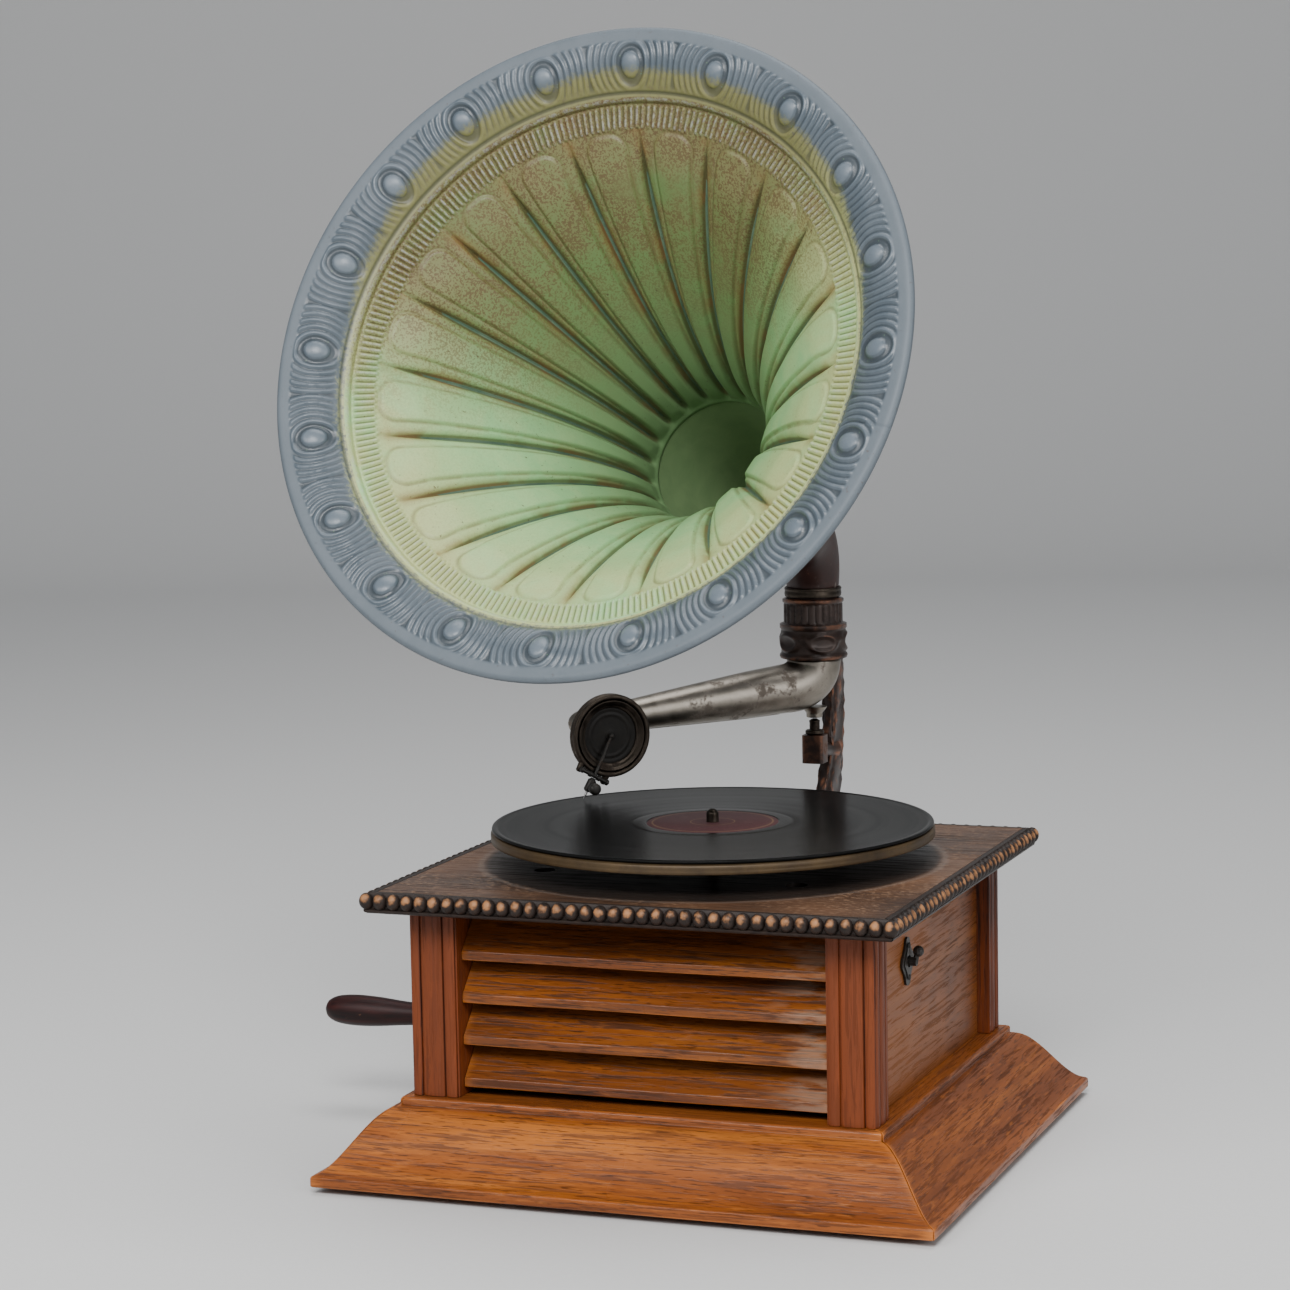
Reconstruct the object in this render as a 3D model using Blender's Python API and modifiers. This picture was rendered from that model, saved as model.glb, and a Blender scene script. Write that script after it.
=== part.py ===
"""A table-top wind-up phonograph with a flared horn, built as separate pieces.

Run with: blender --background --python part.py

Everything is modelled in metres about the turntable's vertical axis: X to the right, -Y to the
front, +Z up, with the floor at zero. One root empty then sets the whole object down so that the
centre of its outer box stands over the origin.
"""

import math

import bmesh
import bpy
from mathutils import Matrix, Vector

# ---------------------------------------------------------------- driving dimensions (metres)
GAP = 0.0003                      # clearance that touching pieces keep

RECORD_R = 0.125                  # a ten-inch disc
RECORD_TOP_Z = 0.1856
RECORD_T = 0.0020
PLATTER_R = 0.1256
PLATTER_T = 0.0015
PLATTER_RIM_Z = 0.1775
SPINDLE_R = 0.0035
SPINDLE_TOP_Z = 0.1930

FOOT_T = 0.0040
BASE_W = 0.1761                   # half width of the plinth's lip
BASE_D = 0.1689                   # half depth of the plinth's lip
BASE_LIP_Z = 0.0102
BASE_OGEE_Z = 0.0435
BASE_TOP_Z = 0.0481
BASE_STEP = 0.0048                # how far the plinth's top step stands beyond the posts
BASE_BAND = 0.0300                # width of the plinth's level top
BODY_W = 0.1334                   # half width over the posts
BODY_D = 0.1256                   # half depth over the posts
POST_W = 0.0280
POST_D = 0.0220
PANEL_RECESS = 0.0080
PANEL_T = 0.0080
TOP_W = 0.1493                    # half width of the top's sharp upper edge
TOP_D = 0.1471
TOP_UNDER_Z = 0.1530
TOP_Z = 0.1642
BEAD_STRIP_T = 0.0055
BEAD_PROUD = 0.0030
SLAT_COUNT = 4
SLAT_PITCH = 0.0236
SLAT_LOW_Z = 0.0528
SLAT_LIP = 0.0052
SLAT_FRONT_Y = -0.1180
SLAT_RUN = 0.0185
SLAT_RISE = 0.0200

SUPPORT_Y = 0.1900                # vertical axis that the tonearm and the horn turn about
COLLAR_LOW_Z = 0.2565
COLLAR_STEP_Z = 0.2750
COLLAR_TOP_Z = 0.2934
COLLAR_BORE_R = 0.0155
BRACKET_REAR = 0.2425
NECK_R = 0.0148

ARM_ANGLE = math.radians(-135.0)  # the tonearm's direction seen from above, at rest
ARM_KNEE_Z = 0.2385
ARM_TIP_Z = 0.2266
ARM_BOX_REACH = 0.1460            # support axis to the sound box's centre, along the arm
ARM_END_REACH = 0.1640
BOX_Z = 0.2215
BOX_R = 0.0248
BOX_FACE = 0.0225                 # tonearm axis to the sound box's front rim
STYLUS_TILT = math.radians(-60.0)
STYLUS_OFFSET = 0.0247            # tonearm axis to the needle's plane
NEEDLE_REACH = 0.0411

HORN_YAW = math.radians(4.2)
HORN_TILT = math.radians(22.6)
HORN_KNEE_Z = 0.3260
HORN_REACH = 0.3440               # knee to the middle of the mouth
HORN_MOUTH_R = 0.1804
HORN_RIM_R = 0.1832
HORN_THROAT_BACK = 0.1977
HORN_THROAT_R = 0.0400
HORN_SHEET = 0.0010

CRANK_Y = -0.0450
CRANK_Z = 0.1050
CRANK_ARM = 0.0710
CRANK_DIP = math.radians(-39.0)
CRANK_ARM_X = -0.1630
HANDLE_END_X = -0.2509
HANDLE_R = 0.0092

PLATE_Z = 0.1470                  # underside of the motor's top plate
PLATE_T = 0.0030
BRIDGE_Z = 0.0510
BRIDGE_T = 0.0030
BARREL_FLOOR_Z = 0.0620
BARREL_TOP_Z = 0.0900
CROWN_Z = 0.1140                   # underside of the crown wheel that the crank drives
BARREL_TEETH = 48
BARREL_MODULE = 0.001375
PINION_TEETH = 10
WHEEL_TEETH = 40
WHEEL_MODULE = 0.0012
WORM_WHEEL_TEETH = 24
GOVERNOR_X = 0.0180
GOVERNOR_Z = 0.1120
LEVER_Y = -0.0430
LEVER_Z = 0.1210
BOLT_PLACES = ((-0.0793, -0.0578), (0.0709, -0.0645))

COLLECTION = "wind_up_phonograph"
COLOURS = {
    "oak": ((0.36, 0.15, 0.045), 0.40, 0.0),
    "dark_oak": ((0.10, 0.055, 0.030), 0.42, 0.0),
    "blackened_bead": ((0.05, 0.03, 0.02), 0.35, 0.0),
    "foot_rubber": ((0.03, 0.03, 0.03), 0.85, 0.0),
    "bronzed_iron": ((0.075, 0.035, 0.025), 0.38, 0.6),
    "nickel": ((0.50, 0.47, 0.43), 0.32, 1.0),
    "brass": ((0.42, 0.30, 0.13), 0.38, 1.0),
    "steel": ((0.45, 0.45, 0.46), 0.35, 1.0),
    "black_iron": ((0.03, 0.03, 0.03), 0.5, 0.5),
    "horn_paint": ((0.36, 0.50, 0.33), 0.45, 0.1),
    "horn_brown": ((0.07, 0.04, 0.035), 0.42, 0.2),
    "shellac": ((0.012, 0.012, 0.013), 0.22, 0.0),
    "mica": ((0.06, 0.055, 0.04), 0.30, 0.0),
    "handle_stain": ((0.055, 0.014, 0.012), 0.35, 0.0),
}


# ---------------------------------------------------------------- scene and object helpers
def clear_scene():
    for thing in list(bpy.data.objects):
        bpy.data.objects.remove(thing, do_unlink=True)


def new_collection(name):
    group = bpy.data.collections.new(name)
    bpy.context.scene.collection.children.link(group)
    return group


def material(key):
    found = bpy.data.materials.get(key)
    if found:
        return found
    colour, roughness, metallic = COLOURS[key]
    made = bpy.data.materials.new(key)
    made.use_nodes = True
    shader = made.node_tree.nodes["Principled BSDF"]
    shader.inputs["Base Color"].default_value = (*colour, 1.0)
    shader.inputs["Roughness"].default_value = roughness
    shader.inputs["Metallic"].default_value = metallic
    made.diffuse_color = (*colour, 1.0)
    return made


def link(name, data, matrix=None):
    thing = bpy.data.objects.new(name, data)
    bpy.context.scene.collection.objects.link(thing)
    if matrix is not None:
        thing.matrix_world = matrix
    bpy.context.view_layer.update()
    return thing


def from_bmesh(name, shape, matrix=None):
    mesh = bpy.data.meshes.new(name)
    shape.to_mesh(mesh)
    shape.free()
    return link(name, mesh, matrix)


def remove(thing):
    bpy.data.objects.remove(thing, do_unlink=True)


def baked(thing, weld=0.00001):
    """Turns a curve, or a mesh with modifiers, into a plain mesh object in world coordinates."""
    bpy.context.view_layer.update()
    seen = thing.evaluated_get(bpy.context.evaluated_depsgraph_get())
    mesh = bpy.data.meshes.new_from_object(seen)
    mesh.transform(thing.matrix_world)
    shape = bmesh.new()
    shape.from_mesh(mesh)
    bmesh.ops.remove_doubles(shape, verts=shape.verts, dist=weld)
    bmesh.ops.recalc_face_normals(shape, faces=shape.faces)
    shape.to_mesh(mesh)
    shape.free()
    name = thing.name
    remove(thing)
    made = link(name, mesh)
    made.name = name
    return made


def boolean(target, other, operation):
    change = target.modifiers.new(operation.lower(), "BOOLEAN")
    change.operation = operation
    change.solver = "EXACT"
    change.object = other
    made = baked(target)
    remove(other)
    return made


def joined(name, *shapes):
    """One solid made of several that overlap."""
    whole = shapes[0]
    for piece in shapes[1:]:
        whole = boolean(whole, piece, "UNION")
    whole.name = name
    return whole


def cut(target, *cutters):
    for cutter in cutters:
        target = boolean(target, cutter, "DIFFERENCE")
    return target


# ---------------------------------------------------------------- basic shapes
def box(name, low, high):
    shape = bmesh.new()
    size = [high[i] - low[i] for i in range(3)]
    middle = [(high[i] + low[i]) / 2 for i in range(3)]
    bmesh.ops.create_cube(shape, size=1.0, matrix=Matrix.Translation(middle) @ Matrix.Diagonal((*size,
                                                                                                1.0)))
    return from_bmesh(name, shape)


def along(start, end):
    """A frame whose Z runs from start to end, standing halfway."""
    direction = Vector(end) - Vector(start)
    turn = direction.to_track_quat("Z", "Y").to_matrix().to_4x4()
    return Matrix.Translation((Vector(start) + Vector(end)) / 2) @ turn, direction.length


def rod(name, start, end, radius, sides=16, end_radius=None):
    frame, length = along(start, end)
    shape = bmesh.new()
    far = radius if end_radius is None else end_radius
    bmesh.ops.create_cone(shape, cap_ends=True, segments=sides, radius1=radius, radius2=far,
                          depth=length, matrix=frame)
    return from_bmesh(name, shape)


def ball(name, centre, radius, around=12, rings=8):
    shape = bmesh.new()
    bmesh.ops.create_uvsphere(shape, u_segments=around, v_segments=rings, radius=radius,
                              matrix=Matrix.Translation(centre))
    return from_bmesh(name, shape)


def turned(name, profile, steps, matrix=None, closed=True, thickness=0.0):
    """A profile of (radius, height) turned about Z, listed down its outer side."""
    mesh = bpy.data.meshes.new(name)
    points = [(radius, 0.0, height) for radius, height in profile]
    edges = [(i, i + 1) for i in range(len(points) - 1)]
    if closed:
        edges.append((len(points) - 1, 0))
    mesh.from_pydata(points, edges, [])
    thing = link(name, mesh, matrix)
    screw = thing.modifiers.new("turn", "SCREW")
    screw.steps = steps
    screw.render_steps = steps
    screw.use_merge_vertices = True
    screw.merge_threshold = 0.00001
    if thickness:
        shell = thing.modifiers.new("sheet", "SOLIDIFY")
        shell.thickness = thickness
        shell.offset = 1.0
        shell.use_even_offset = True
    return baked(thing)


def plate(name, outlines, thickness, matrix=None):
    """A flat outline, with any holes as further outlines, given half its thickness each way."""
    curve = bpy.data.curves.new(name, "CURVE")
    curve.dimensions = "2D"
    curve.fill_mode = "BOTH"
    curve.extrude = thickness / 2
    for outline in outlines:
        line = curve.splines.new("POLY")
        line.points.add(len(outline) - 1)
        for point, (x, y) in zip(line.points, outline):
            point.co = (x, y, 0.0, 1.0)
        line.use_cyclic_u = True
    return baked(link(name, curve, matrix))


def circle(radius, sides, centre=(0.0, 0.0)):
    step = 2 * math.pi / sides
    return [(centre[0] + radius * math.cos(i * step), centre[1] + radius * math.sin(i * step))
            for i in range(sides)]


def lies_across(face, place, heading):
    """Whether a face lies in the plane that cuts a pipe off at its end."""
    return all(abs((vertex.co - place).dot(heading)) < 0.00002 for vertex in face.verts)


def tube(name, path, radii, resolution=4, open_low=False, open_high=False, wall=0.0):
    """A round bar along a path; with a wall it becomes a pipe, open at the ends named."""
    curve = bpy.data.curves.new(name, "CURVE")
    curve.dimensions = "3D"
    curve.bevel_depth = 1.0
    curve.bevel_resolution = resolution
    curve.use_fill_caps = True
    line = curve.splines.new("POLY")
    line.points.add(len(path) - 1)
    for point, place, radius in zip(line.points, path, radii):
        point.co = (*place, 1.0)
        point.radius = radius
    thing = baked(link(name, curve))
    if not wall:
        return thing
    shape = bmesh.new()
    shape.from_mesh(thing.data)
    ends = []
    if open_low:
        ends.append((Vector(path[0]), (Vector(path[1]) - Vector(path[0])).normalized()))
    if open_high:
        ends.append((Vector(path[-1]), (Vector(path[-1]) - Vector(path[-2])).normalized()))
    caps = [face for face in shape.faces
            if any(lies_across(face, place, heading) for place, heading in ends)]
    bmesh.ops.delete(shape, geom=caps, context="FACES_ONLY")
    shape.to_mesh(thing.data)
    shape.free()
    shell = thing.modifiers.new("wall", "SOLIDIFY")
    shell.thickness = wall
    shell.offset = -1.0
    return baked(thing)


def gear_outline(teeth, module, turn=0.0):
    """Trapezoid teeth on a wheel, thinned a little so that a meshing pair runs clear."""
    pitch = teeth * module / 2
    tip = pitch + 0.85 * module
    root = pitch - 1.15 * module
    step = 2 * math.pi / teeth
    points = []
    for i in range(teeth):
        middle = turn + i * step
        for radius, share in ((root, -0.33), (tip, -0.11), (tip, 0.11), (root, 0.33)):
            angle = middle + share * step
            points.append((radius * math.cos(angle), radius * math.sin(angle)))
    return points


def saw_outline(teeth, root, tip, lean=0.9):
    """Two points a tooth: ratchet teeth when the tip leans on the next root, plain ones at a half."""
    points = []
    for i in range(teeth):
        for radius, share in ((root, 0.0), (tip, lean)):
            angle = 2 * math.pi * (i + share) / teeth
            points.append((radius * math.cos(angle), radius * math.sin(angle)))
    return points


def gear(name, centre, low_z, high_z, teeth, module, turn=0.0, hole=0.0):
    outlines = [gear_outline(teeth, module, turn)]
    if hole:
        outlines.append(circle(hole, 24))
    place = Matrix.Translation((centre[0], centre[1], (low_z + high_z) / 2))
    return plate(name, outlines, high_z - low_z, place)


def meeting_point(a, a_reach, b, b_reach, side):
    """Where a circle about a and one about b cross: the axis of a wheel that meshes with both."""
    start = Vector(a)
    across = Vector(b) - start
    span = across.length
    forward = (a_reach ** 2 - b_reach ** 2 + span ** 2) / (2 * span)
    sideways = math.sqrt(a_reach ** 2 - forward ** 2)
    unit = across / span
    normal = Vector((-unit.y, unit.x)) * side
    return tuple(start + unit * forward + normal * sideways)


# ---------------------------------------------------------------- placing and finishing
class Builder:
    """Holds the root empty, the pivots of the moving bodies and the finished pieces."""

    def __init__(self):
        self.parts = new_collection(COLLECTION)
        self.root = link("phonograph_root", None)
        self.pivots = {}

    def pivot(self, name, place, parent=None):
        empty = link(name, None, Matrix.Translation(place))
        self.attach(empty, self.pivots[parent] if parent else self.root)
        self.pivots[name] = empty

    def attach(self, child, parent):
        bpy.context.view_layer.update()
        child.parent = parent
        child.matrix_parent_inverse = parent.matrix_world.inverted()

    def keep(self, thing, name, colour, pivot=None, smooth=False):
        thing.name = name
        thing.data.name = name
        thing.data.materials.clear()
        thing.data.materials.append(material(colour))
        if smooth:
            thing.data.shade_smooth()
            thing.data.set_sharp_from_angle(angle=math.radians(35))
        for group in list(thing.users_collection):
            group.objects.unlink(thing)
        self.parts.objects.link(thing)
        self.attach(thing, self.pivots[pivot] if pivot else self.root)
        return thing


SIDES = {
    "front": (Vector((1, 0, 0)), Vector((0, -1, 0)), BASE_W - BASE_D),
    "rear": (Vector((-1, 0, 0)), Vector((0, 1, 0)), BASE_W - BASE_D),
    "left": (Vector((0, -1, 0)), Vector((-1, 0, 0)), BASE_D - BASE_W),
    "right": (Vector((0, 1, 0)), Vector((1, 0, 0)), BASE_D - BASE_W),
}


def mitred_strip(name, section, run, out, extra):
    """A moulding along one side. section is (outward, up); each end is sheared to a mitre, where
    the half length is the outward distance plus extra."""
    strip = plate(name, [section], 2.0)
    for vertex in strip.data.vertices:
        outward, up, side = vertex.co
        length = math.copysign(outward + extra - GAP, side)
        vertex.co = run * length + out * outward + Vector((0, 0, up))
    shape = bmesh.new()
    shape.from_mesh(strip.data)
    bmesh.ops.recalc_face_normals(shape, faces=shape.faces)
    shape.to_mesh(strip.data)
    shape.free()
    return strip


# ---------------------------------------------------------------- cabinet
def build_feet(maker):
    for side, x in (("left", -0.150), ("right", 0.150)):
        for end, y in (("front", -0.142), ("rear", 0.142)):
            foot = rod("foot", (x, y, 0), (x, y, FOOT_T - GAP), 0.009, 16)
            maker.keep(foot, f"foot_{end}_{side}", "foot_rubber")


def ogee_section(half_size, body_half):
    """The plinth moulding: level top, small step, ogee sweep and a square lip."""
    step_edge = body_half + BASE_STEP
    inner = step_edge - BASE_BAND - BASE_STEP
    points = [(inner, FOOT_T), (half_size, FOOT_T), (half_size, BASE_LIP_Z)]
    rise = BASE_OGEE_Z - BASE_LIP_Z
    sweep = half_size - step_edge
    for i in range(1, 12):
        share = i / 12
        points.append((half_size - sweep * share,
                       BASE_LIP_Z + rise * (0.5 - 0.5 * math.cos(math.pi * share)) ** 0.9))
    points += [(step_edge, BASE_OGEE_Z), (step_edge, BASE_TOP_Z), (inner, BASE_TOP_Z)]
    return points


def build_plinth(maker):
    for side, (run, out, extra) in SIDES.items():
        if side in ("front", "rear"):
            section = ogee_section(BASE_D, BODY_D)
        else:
            section = ogee_section(BASE_W, BODY_W)
        strip = mitred_strip("plinth", section, run, out, extra)
        maker.keep(strip, f"plinth_{side}", "oak")
    x = BODY_W - BASE_BAND - GAP
    y = BODY_D - BASE_BAND - GAP
    board = box("board", (-x, -y, 0.006), (x, y, 0.014))
    maker.keep(board, "bottom_board", "oak")


def reeds(start, width, bulge, points=4):
    """One rounded reed on a face that runs along the outline."""
    return [(start + width * i / points, bulge * math.sin(math.pi * i / points))
            for i in range(points + 1)]


def post_outline():
    """The plan of a corner post from its outer corner: three reeds in front, two on the side."""
    groove = 0.0014
    front = reeds(0.0010, 0.0072, groove) + reeds(0.0092, 0.0108, groove) + reeds(0.0210, 0.0062, groove)
    side = reeds(0.0014, 0.0048, groove) + reeds(0.0070, 0.0048, groove)
    outline = [(x, groove - lift) for x, lift in front]
    outline += [(POST_W, 0.0), (POST_W, POST_D), (0.0, POST_D), (0.0, 0.0135)]
    outline += [(groove - lift, y) for y, lift in reversed(side)]
    return outline


def build_posts(maker):
    height = TOP_UNDER_Z - BASE_TOP_Z - 2 * GAP
    middle_z = (TOP_UNDER_Z + BASE_TOP_Z) / 2
    for side, sx in (("left", 1), ("right", -1)):
        for end, sy in (("front", 1), ("rear", -1)):
            outline = [(sx * x, sy * y) for x, y in post_outline()]
            place = Matrix.Translation((-sx * BODY_W, -sy * BODY_D, middle_z))
            post = plate("post", [outline], height, place)
            maker.keep(post, f"post_{end}_{side}", "oak")


def build_panels(maker):
    low = BASE_TOP_Z + GAP
    high = TOP_UNDER_Z - GAP
    outer = BODY_W - PANEL_RECESS
    inner = outer - PANEL_T
    y = BODY_D - POST_D - GAP
    left = box("panel", (-outer, -y, low), (-inner, y, high))
    left = cut(left, rod("hole", (-outer - 0.01, CRANK_Y, CRANK_Z), (-inner + 0.01, CRANK_Y, CRANK_Z),
                         0.0075))
    maker.keep(left, "side_panel_left", "oak")
    right = box("panel", (inner, -y, low), (outer, y, high))
    right = cut(right, rod("hole", (inner - 0.01, LEVER_Y, LEVER_Z), (outer + 0.01, LEVER_Y, LEVER_Z),
                           0.0045))
    maker.keep(right, "side_panel_right", "oak")
    x = BODY_W - POST_W - GAP
    back_y = BODY_D - PANEL_RECESS
    maker.keep(box("panel", (-x, back_y - PANEL_T, low), (x, back_y, high)), "back_panel", "oak")


def build_louvre(maker):
    length = 2 * (BODY_W - POST_W - GAP)
    sideways = Matrix(((0, 0, 1, 0), (1, 0, 0, 0), (0, 1, 0, 0), (0, 0, 0, 1)))
    for i in range(SLAT_COUNT):
        low = SLAT_LOW_Z + SLAT_PITCH * i
        back = SLAT_FRONT_Y + SLAT_RUN
        section = [(SLAT_FRONT_Y, low), (SLAT_FRONT_Y + 0.0020, low),
                   (back + 0.0040, low + SLAT_RISE - 0.0010),
                   (back, low + SLAT_LIP + SLAT_RISE - 0.0020), (SLAT_FRONT_Y, low + SLAT_LIP)]
        slat = plate("slat", [section], length, sideways)
        maker.keep(slat, f"louvre_slat_{i + 1}", "oak")


def build_top(maker):
    half_w = TOP_W - BEAD_STRIP_T - GAP
    half_d = TOP_D - BEAD_STRIP_T - GAP
    board = box("board", (-half_w, -half_d, TOP_UNDER_Z), (half_w, half_d, TOP_Z))
    cutters = [rod("hole", (0, 0, TOP_UNDER_Z - 0.01), (0, 0, TOP_Z + 0.01), 0.0090)]
    for x, y in BOLT_PLACES:
        cutters.append(rod("hole", (x, y, TOP_UNDER_Z - 0.01), (x, y, TOP_Z + 0.01), 0.0028, 12))
        cutters.append(rod("hole", (x, y, TOP_Z - 0.0055), (x, y, TOP_Z + 0.01), 0.0060))
    maker.keep(cut(board, *cutters), "top_board", "dark_oak")
    for name, (x, y) in zip(("motor_bolt_left", "motor_bolt_right"), BOLT_PLACES):
        head = rod("head", (x, y, TOP_Z - 0.0052), (x, y, TOP_Z - 0.0022), 0.0045, 12, 0.0034)
        shank = rod("shank", (x, y, PLATE_Z - 0.002), (x, y, TOP_Z - 0.004), 0.0024, 12)
        maker.keep(joined("bolt", head, shank), name, "steel")
    middle = (TOP_UNDER_Z + TOP_Z) / 2
    radius = (TOP_Z - TOP_UNDER_Z) / 2
    for side, (run, out, _) in SIDES.items():
        half, other = (TOP_D, TOP_W) if side in ("front", "rear") else (TOP_W, TOP_D)
        section = [(half - BEAD_STRIP_T, TOP_UNDER_Z)]
        for i in range(7):
            angle = math.pi * (i / 6 - 0.5)
            section.append((half + BEAD_PROUD * math.cos(angle), middle + radius * math.sin(angle)))
        section.append((half - BEAD_STRIP_T, TOP_Z))
        strip = mitred_strip("strip", section, run, out, other - half)
        maker.keep(strip, f"bead_strip_{side}", "blackened_bead")


def lobed_plate(half_height, half_width, sides=24):
    """A pointed oval scutcheon with waisted ends."""
    points = []
    for i in range(sides):
        angle = 2 * math.pi * i / sides
        waist = 1.0 - 0.22 * math.sin(2 * angle) ** 2
        points.append((half_width * math.cos(angle) * waist, half_height * math.sin(angle)))
    return points


def build_scutcheons(maker):
    facing_x = Matrix(((0, 0, 1, 0), (1, 0, 0, 0), (0, 1, 0, 0), (0, 0, 0, 1)))
    face = BODY_W - PANEL_RECESS + GAP
    place = Matrix.Translation((face + 0.0009, LEVER_Y, LEVER_Z)) @ facing_x
    outlines = [lobed_plate(0.0135, 0.0105), circle(0.0036, 12)]
    maker.keep(plate("scutcheon", outlines, 0.0018, place), "lever_escutcheon", "black_iron")
    place = Matrix.Translation((-face - 0.0009, CRANK_Y, CRANK_Z)) @ facing_x
    outlines = [circle(0.0140, 24), circle(0.0062, 16)]
    maker.keep(plate("scutcheon", outlines, 0.0018, place), "crank_escutcheon", "black_iron")


# ---------------------------------------------------------------- bracket behind the cabinet
def ribbon(path, widths):
    """The outline of a curved arm: a centre line with a half width at each point."""
    left = []
    right = []
    for i, (x, y) in enumerate(path):
        before = Vector(path[max(i - 1, 0)])
        after = Vector(path[min(i + 1, len(path) - 1)])
        direction = (after - before).normalized()
        left.append((x - direction.y * widths[i], y + direction.x * widths[i]))
        right.append((x + direction.y * widths[i], y - direction.x * widths[i]))
    return left + right[::-1]


def build_bracket(maker):
    sideways = Matrix(((0, 0, 1, 0), (1, 0, 0, 0), (0, 1, 0, 0), (0, 0, 0, 1)))
    face = BODY_D - PANEL_RECESS + GAP
    path = [(face + 0.004, 0.100), (0.150, 0.107), (0.178, 0.122), (0.203, 0.146), (0.219, 0.175),
            (0.2275, 0.205), (0.2290, 0.235), (0.2285, 0.272)]
    widths = [0.0120, 0.0115, 0.0125, 0.0145, 0.0155, 0.0140, 0.0130, 0.0085]
    arm = plate("arm", [ribbon(path, widths)], 0.0090, sideways)
    foot = box("foot", (-0.020, face, 0.068), (0.020, face + 0.006, 0.138))
    low = rod("low", (0, SUPPORT_Y, COLLAR_LOW_Z), (0, SUPPORT_Y, COLLAR_STEP_Z), 0.0210, 24)
    high = rod("high", (0, SUPPORT_Y, COLLAR_STEP_Z - 0.001), (0, SUPPORT_Y, COLLAR_TOP_Z), 0.0185, 24)
    web = box("web", (-0.0045, SUPPORT_Y + 0.0185, COLLAR_LOW_Z + 0.0015),
              (0.0045, 0.2290, COLLAR_STEP_Z - 0.0015))
    boss = box("boss", (-0.007, SUPPORT_Y - 0.007, 0.1880), (0.007, SUPPORT_Y + 0.007, 0.2085))
    neck = box("neck", (-0.004, SUPPORT_Y + 0.005, 0.1905), (0.004, 0.2220, 0.2040))
    bracket = joined("bracket", arm, foot, low, high, web, boss, neck)
    bore = rod("bore", (0, SUPPORT_Y, COLLAR_LOW_Z - 0.01), (0, SUPPORT_Y, COLLAR_TOP_Z + 0.01),
               COLLAR_BORE_R, 24)
    thread = rod("thread", (0, SUPPORT_Y, 0.1930), (0, SUPPORT_Y, 0.2200), 0.0034, 12)
    holes = [rod("hole", (0, face - 0.01, z), (0, face + 0.02, z), 0.0028, 12) for z in (0.0760, 0.1300)]
    bracket = cut(bracket, bore, thread, *holes)
    maker.keep(bracket, "horn_bracket", "bronzed_iron", smooth=True)
    for name, z in (("bracket_screw_lower", 0.0760), ("bracket_screw_upper", 0.1300)):
        head = rod("head", (0, face + 0.006 + GAP, z), (0, face + 0.0090, z), 0.0046, 12, 0.0034)
        shank = rod("shank", (0, face + GAP, z), (0, face + 0.0075, z), 0.0025, 12)
        maker.keep(joined("screw", head, shank), name, "steel")
    point = rod("point", (0, SUPPORT_Y, 0.2150), (0, SUPPORT_Y, 0.2186), 0.0030, 12, 0.0008)
    shank = rod("shank", (0, SUPPORT_Y, 0.1935), (0, SUPPORT_Y, 0.2155), 0.0030, 12)
    nut = rod("nut", (0, SUPPORT_Y, 0.2085 + GAP), (0, SUPPORT_Y, 0.2115), 0.0058, 6)
    maker.keep(joined("screw", shank, point, nut), "pivot_screw", "steel")


# ---------------------------------------------------------------- tonearm and sound box
ARM_DIR = Vector((math.cos(ARM_ANGLE), math.sin(ARM_ANGLE), 0.0))
FACE_DIR = Vector((-ARM_DIR.y, ARM_DIR.x, 0.0))
SUPPORT = Vector((0.0, SUPPORT_Y, 0.0))


def on_arm(reach, height, offset=0.0):
    return SUPPORT + ARM_DIR * reach + FACE_DIR * offset + Vector((0, 0, height))


def box_frame(offset=0.0):
    """A frame at the sound box's centre line: X outward along the arm, Y up, Z out of its face."""
    turn = Matrix((ARM_DIR, Vector((0, 0, 1)), FACE_DIR)).transposed().to_4x4()
    return Matrix.Translation(on_arm(ARM_BOX_REACH, BOX_Z, offset)) @ turn


def on_stylus(reach, offset, across=0.0):
    """A point in the sound box's face: along the stylus line, out of the face, and across."""
    line = Vector((math.cos(STYLUS_TILT), math.sin(STYLUS_TILT), 0.0))
    side = Vector((-line.y, line.x, 0.0))
    return box_frame() @ (line * reach + side * across + Vector((0, 0, offset)))


def arm_path():
    bend = 0.0200
    points = [on_arm(0, 0.2720), on_arm(0, 0.2562), on_arm(0, 0.2550)]
    radii = [NECK_R, NECK_R, 0.0163]
    for i in range(1, 7):
        angle = math.pi / 2 * i / 6
        points.append(on_arm(bend * (1 - math.cos(angle)),
                             ARM_KNEE_Z + 0.0155 - 0.0155 * math.sin(angle)))
        radii.append(0.0163 - 0.0013 * i / 6)
    slope = (ARM_TIP_Z - ARM_KNEE_Z) / (ARM_END_REACH - bend)
    for share, radius in ((0.18, 0.0142), (0.45, 0.0118), (0.75, 0.0090), (0.93, 0.0078), (0.975, 0.0062),
                          (1.0, 0.0024)):
        reach = bend + (ARM_END_REACH - bend) * share
        points.append(on_arm(reach, ARM_KNEE_Z + slope * (reach - bend)))
        radii.append(radius)
    return points, radii


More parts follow.
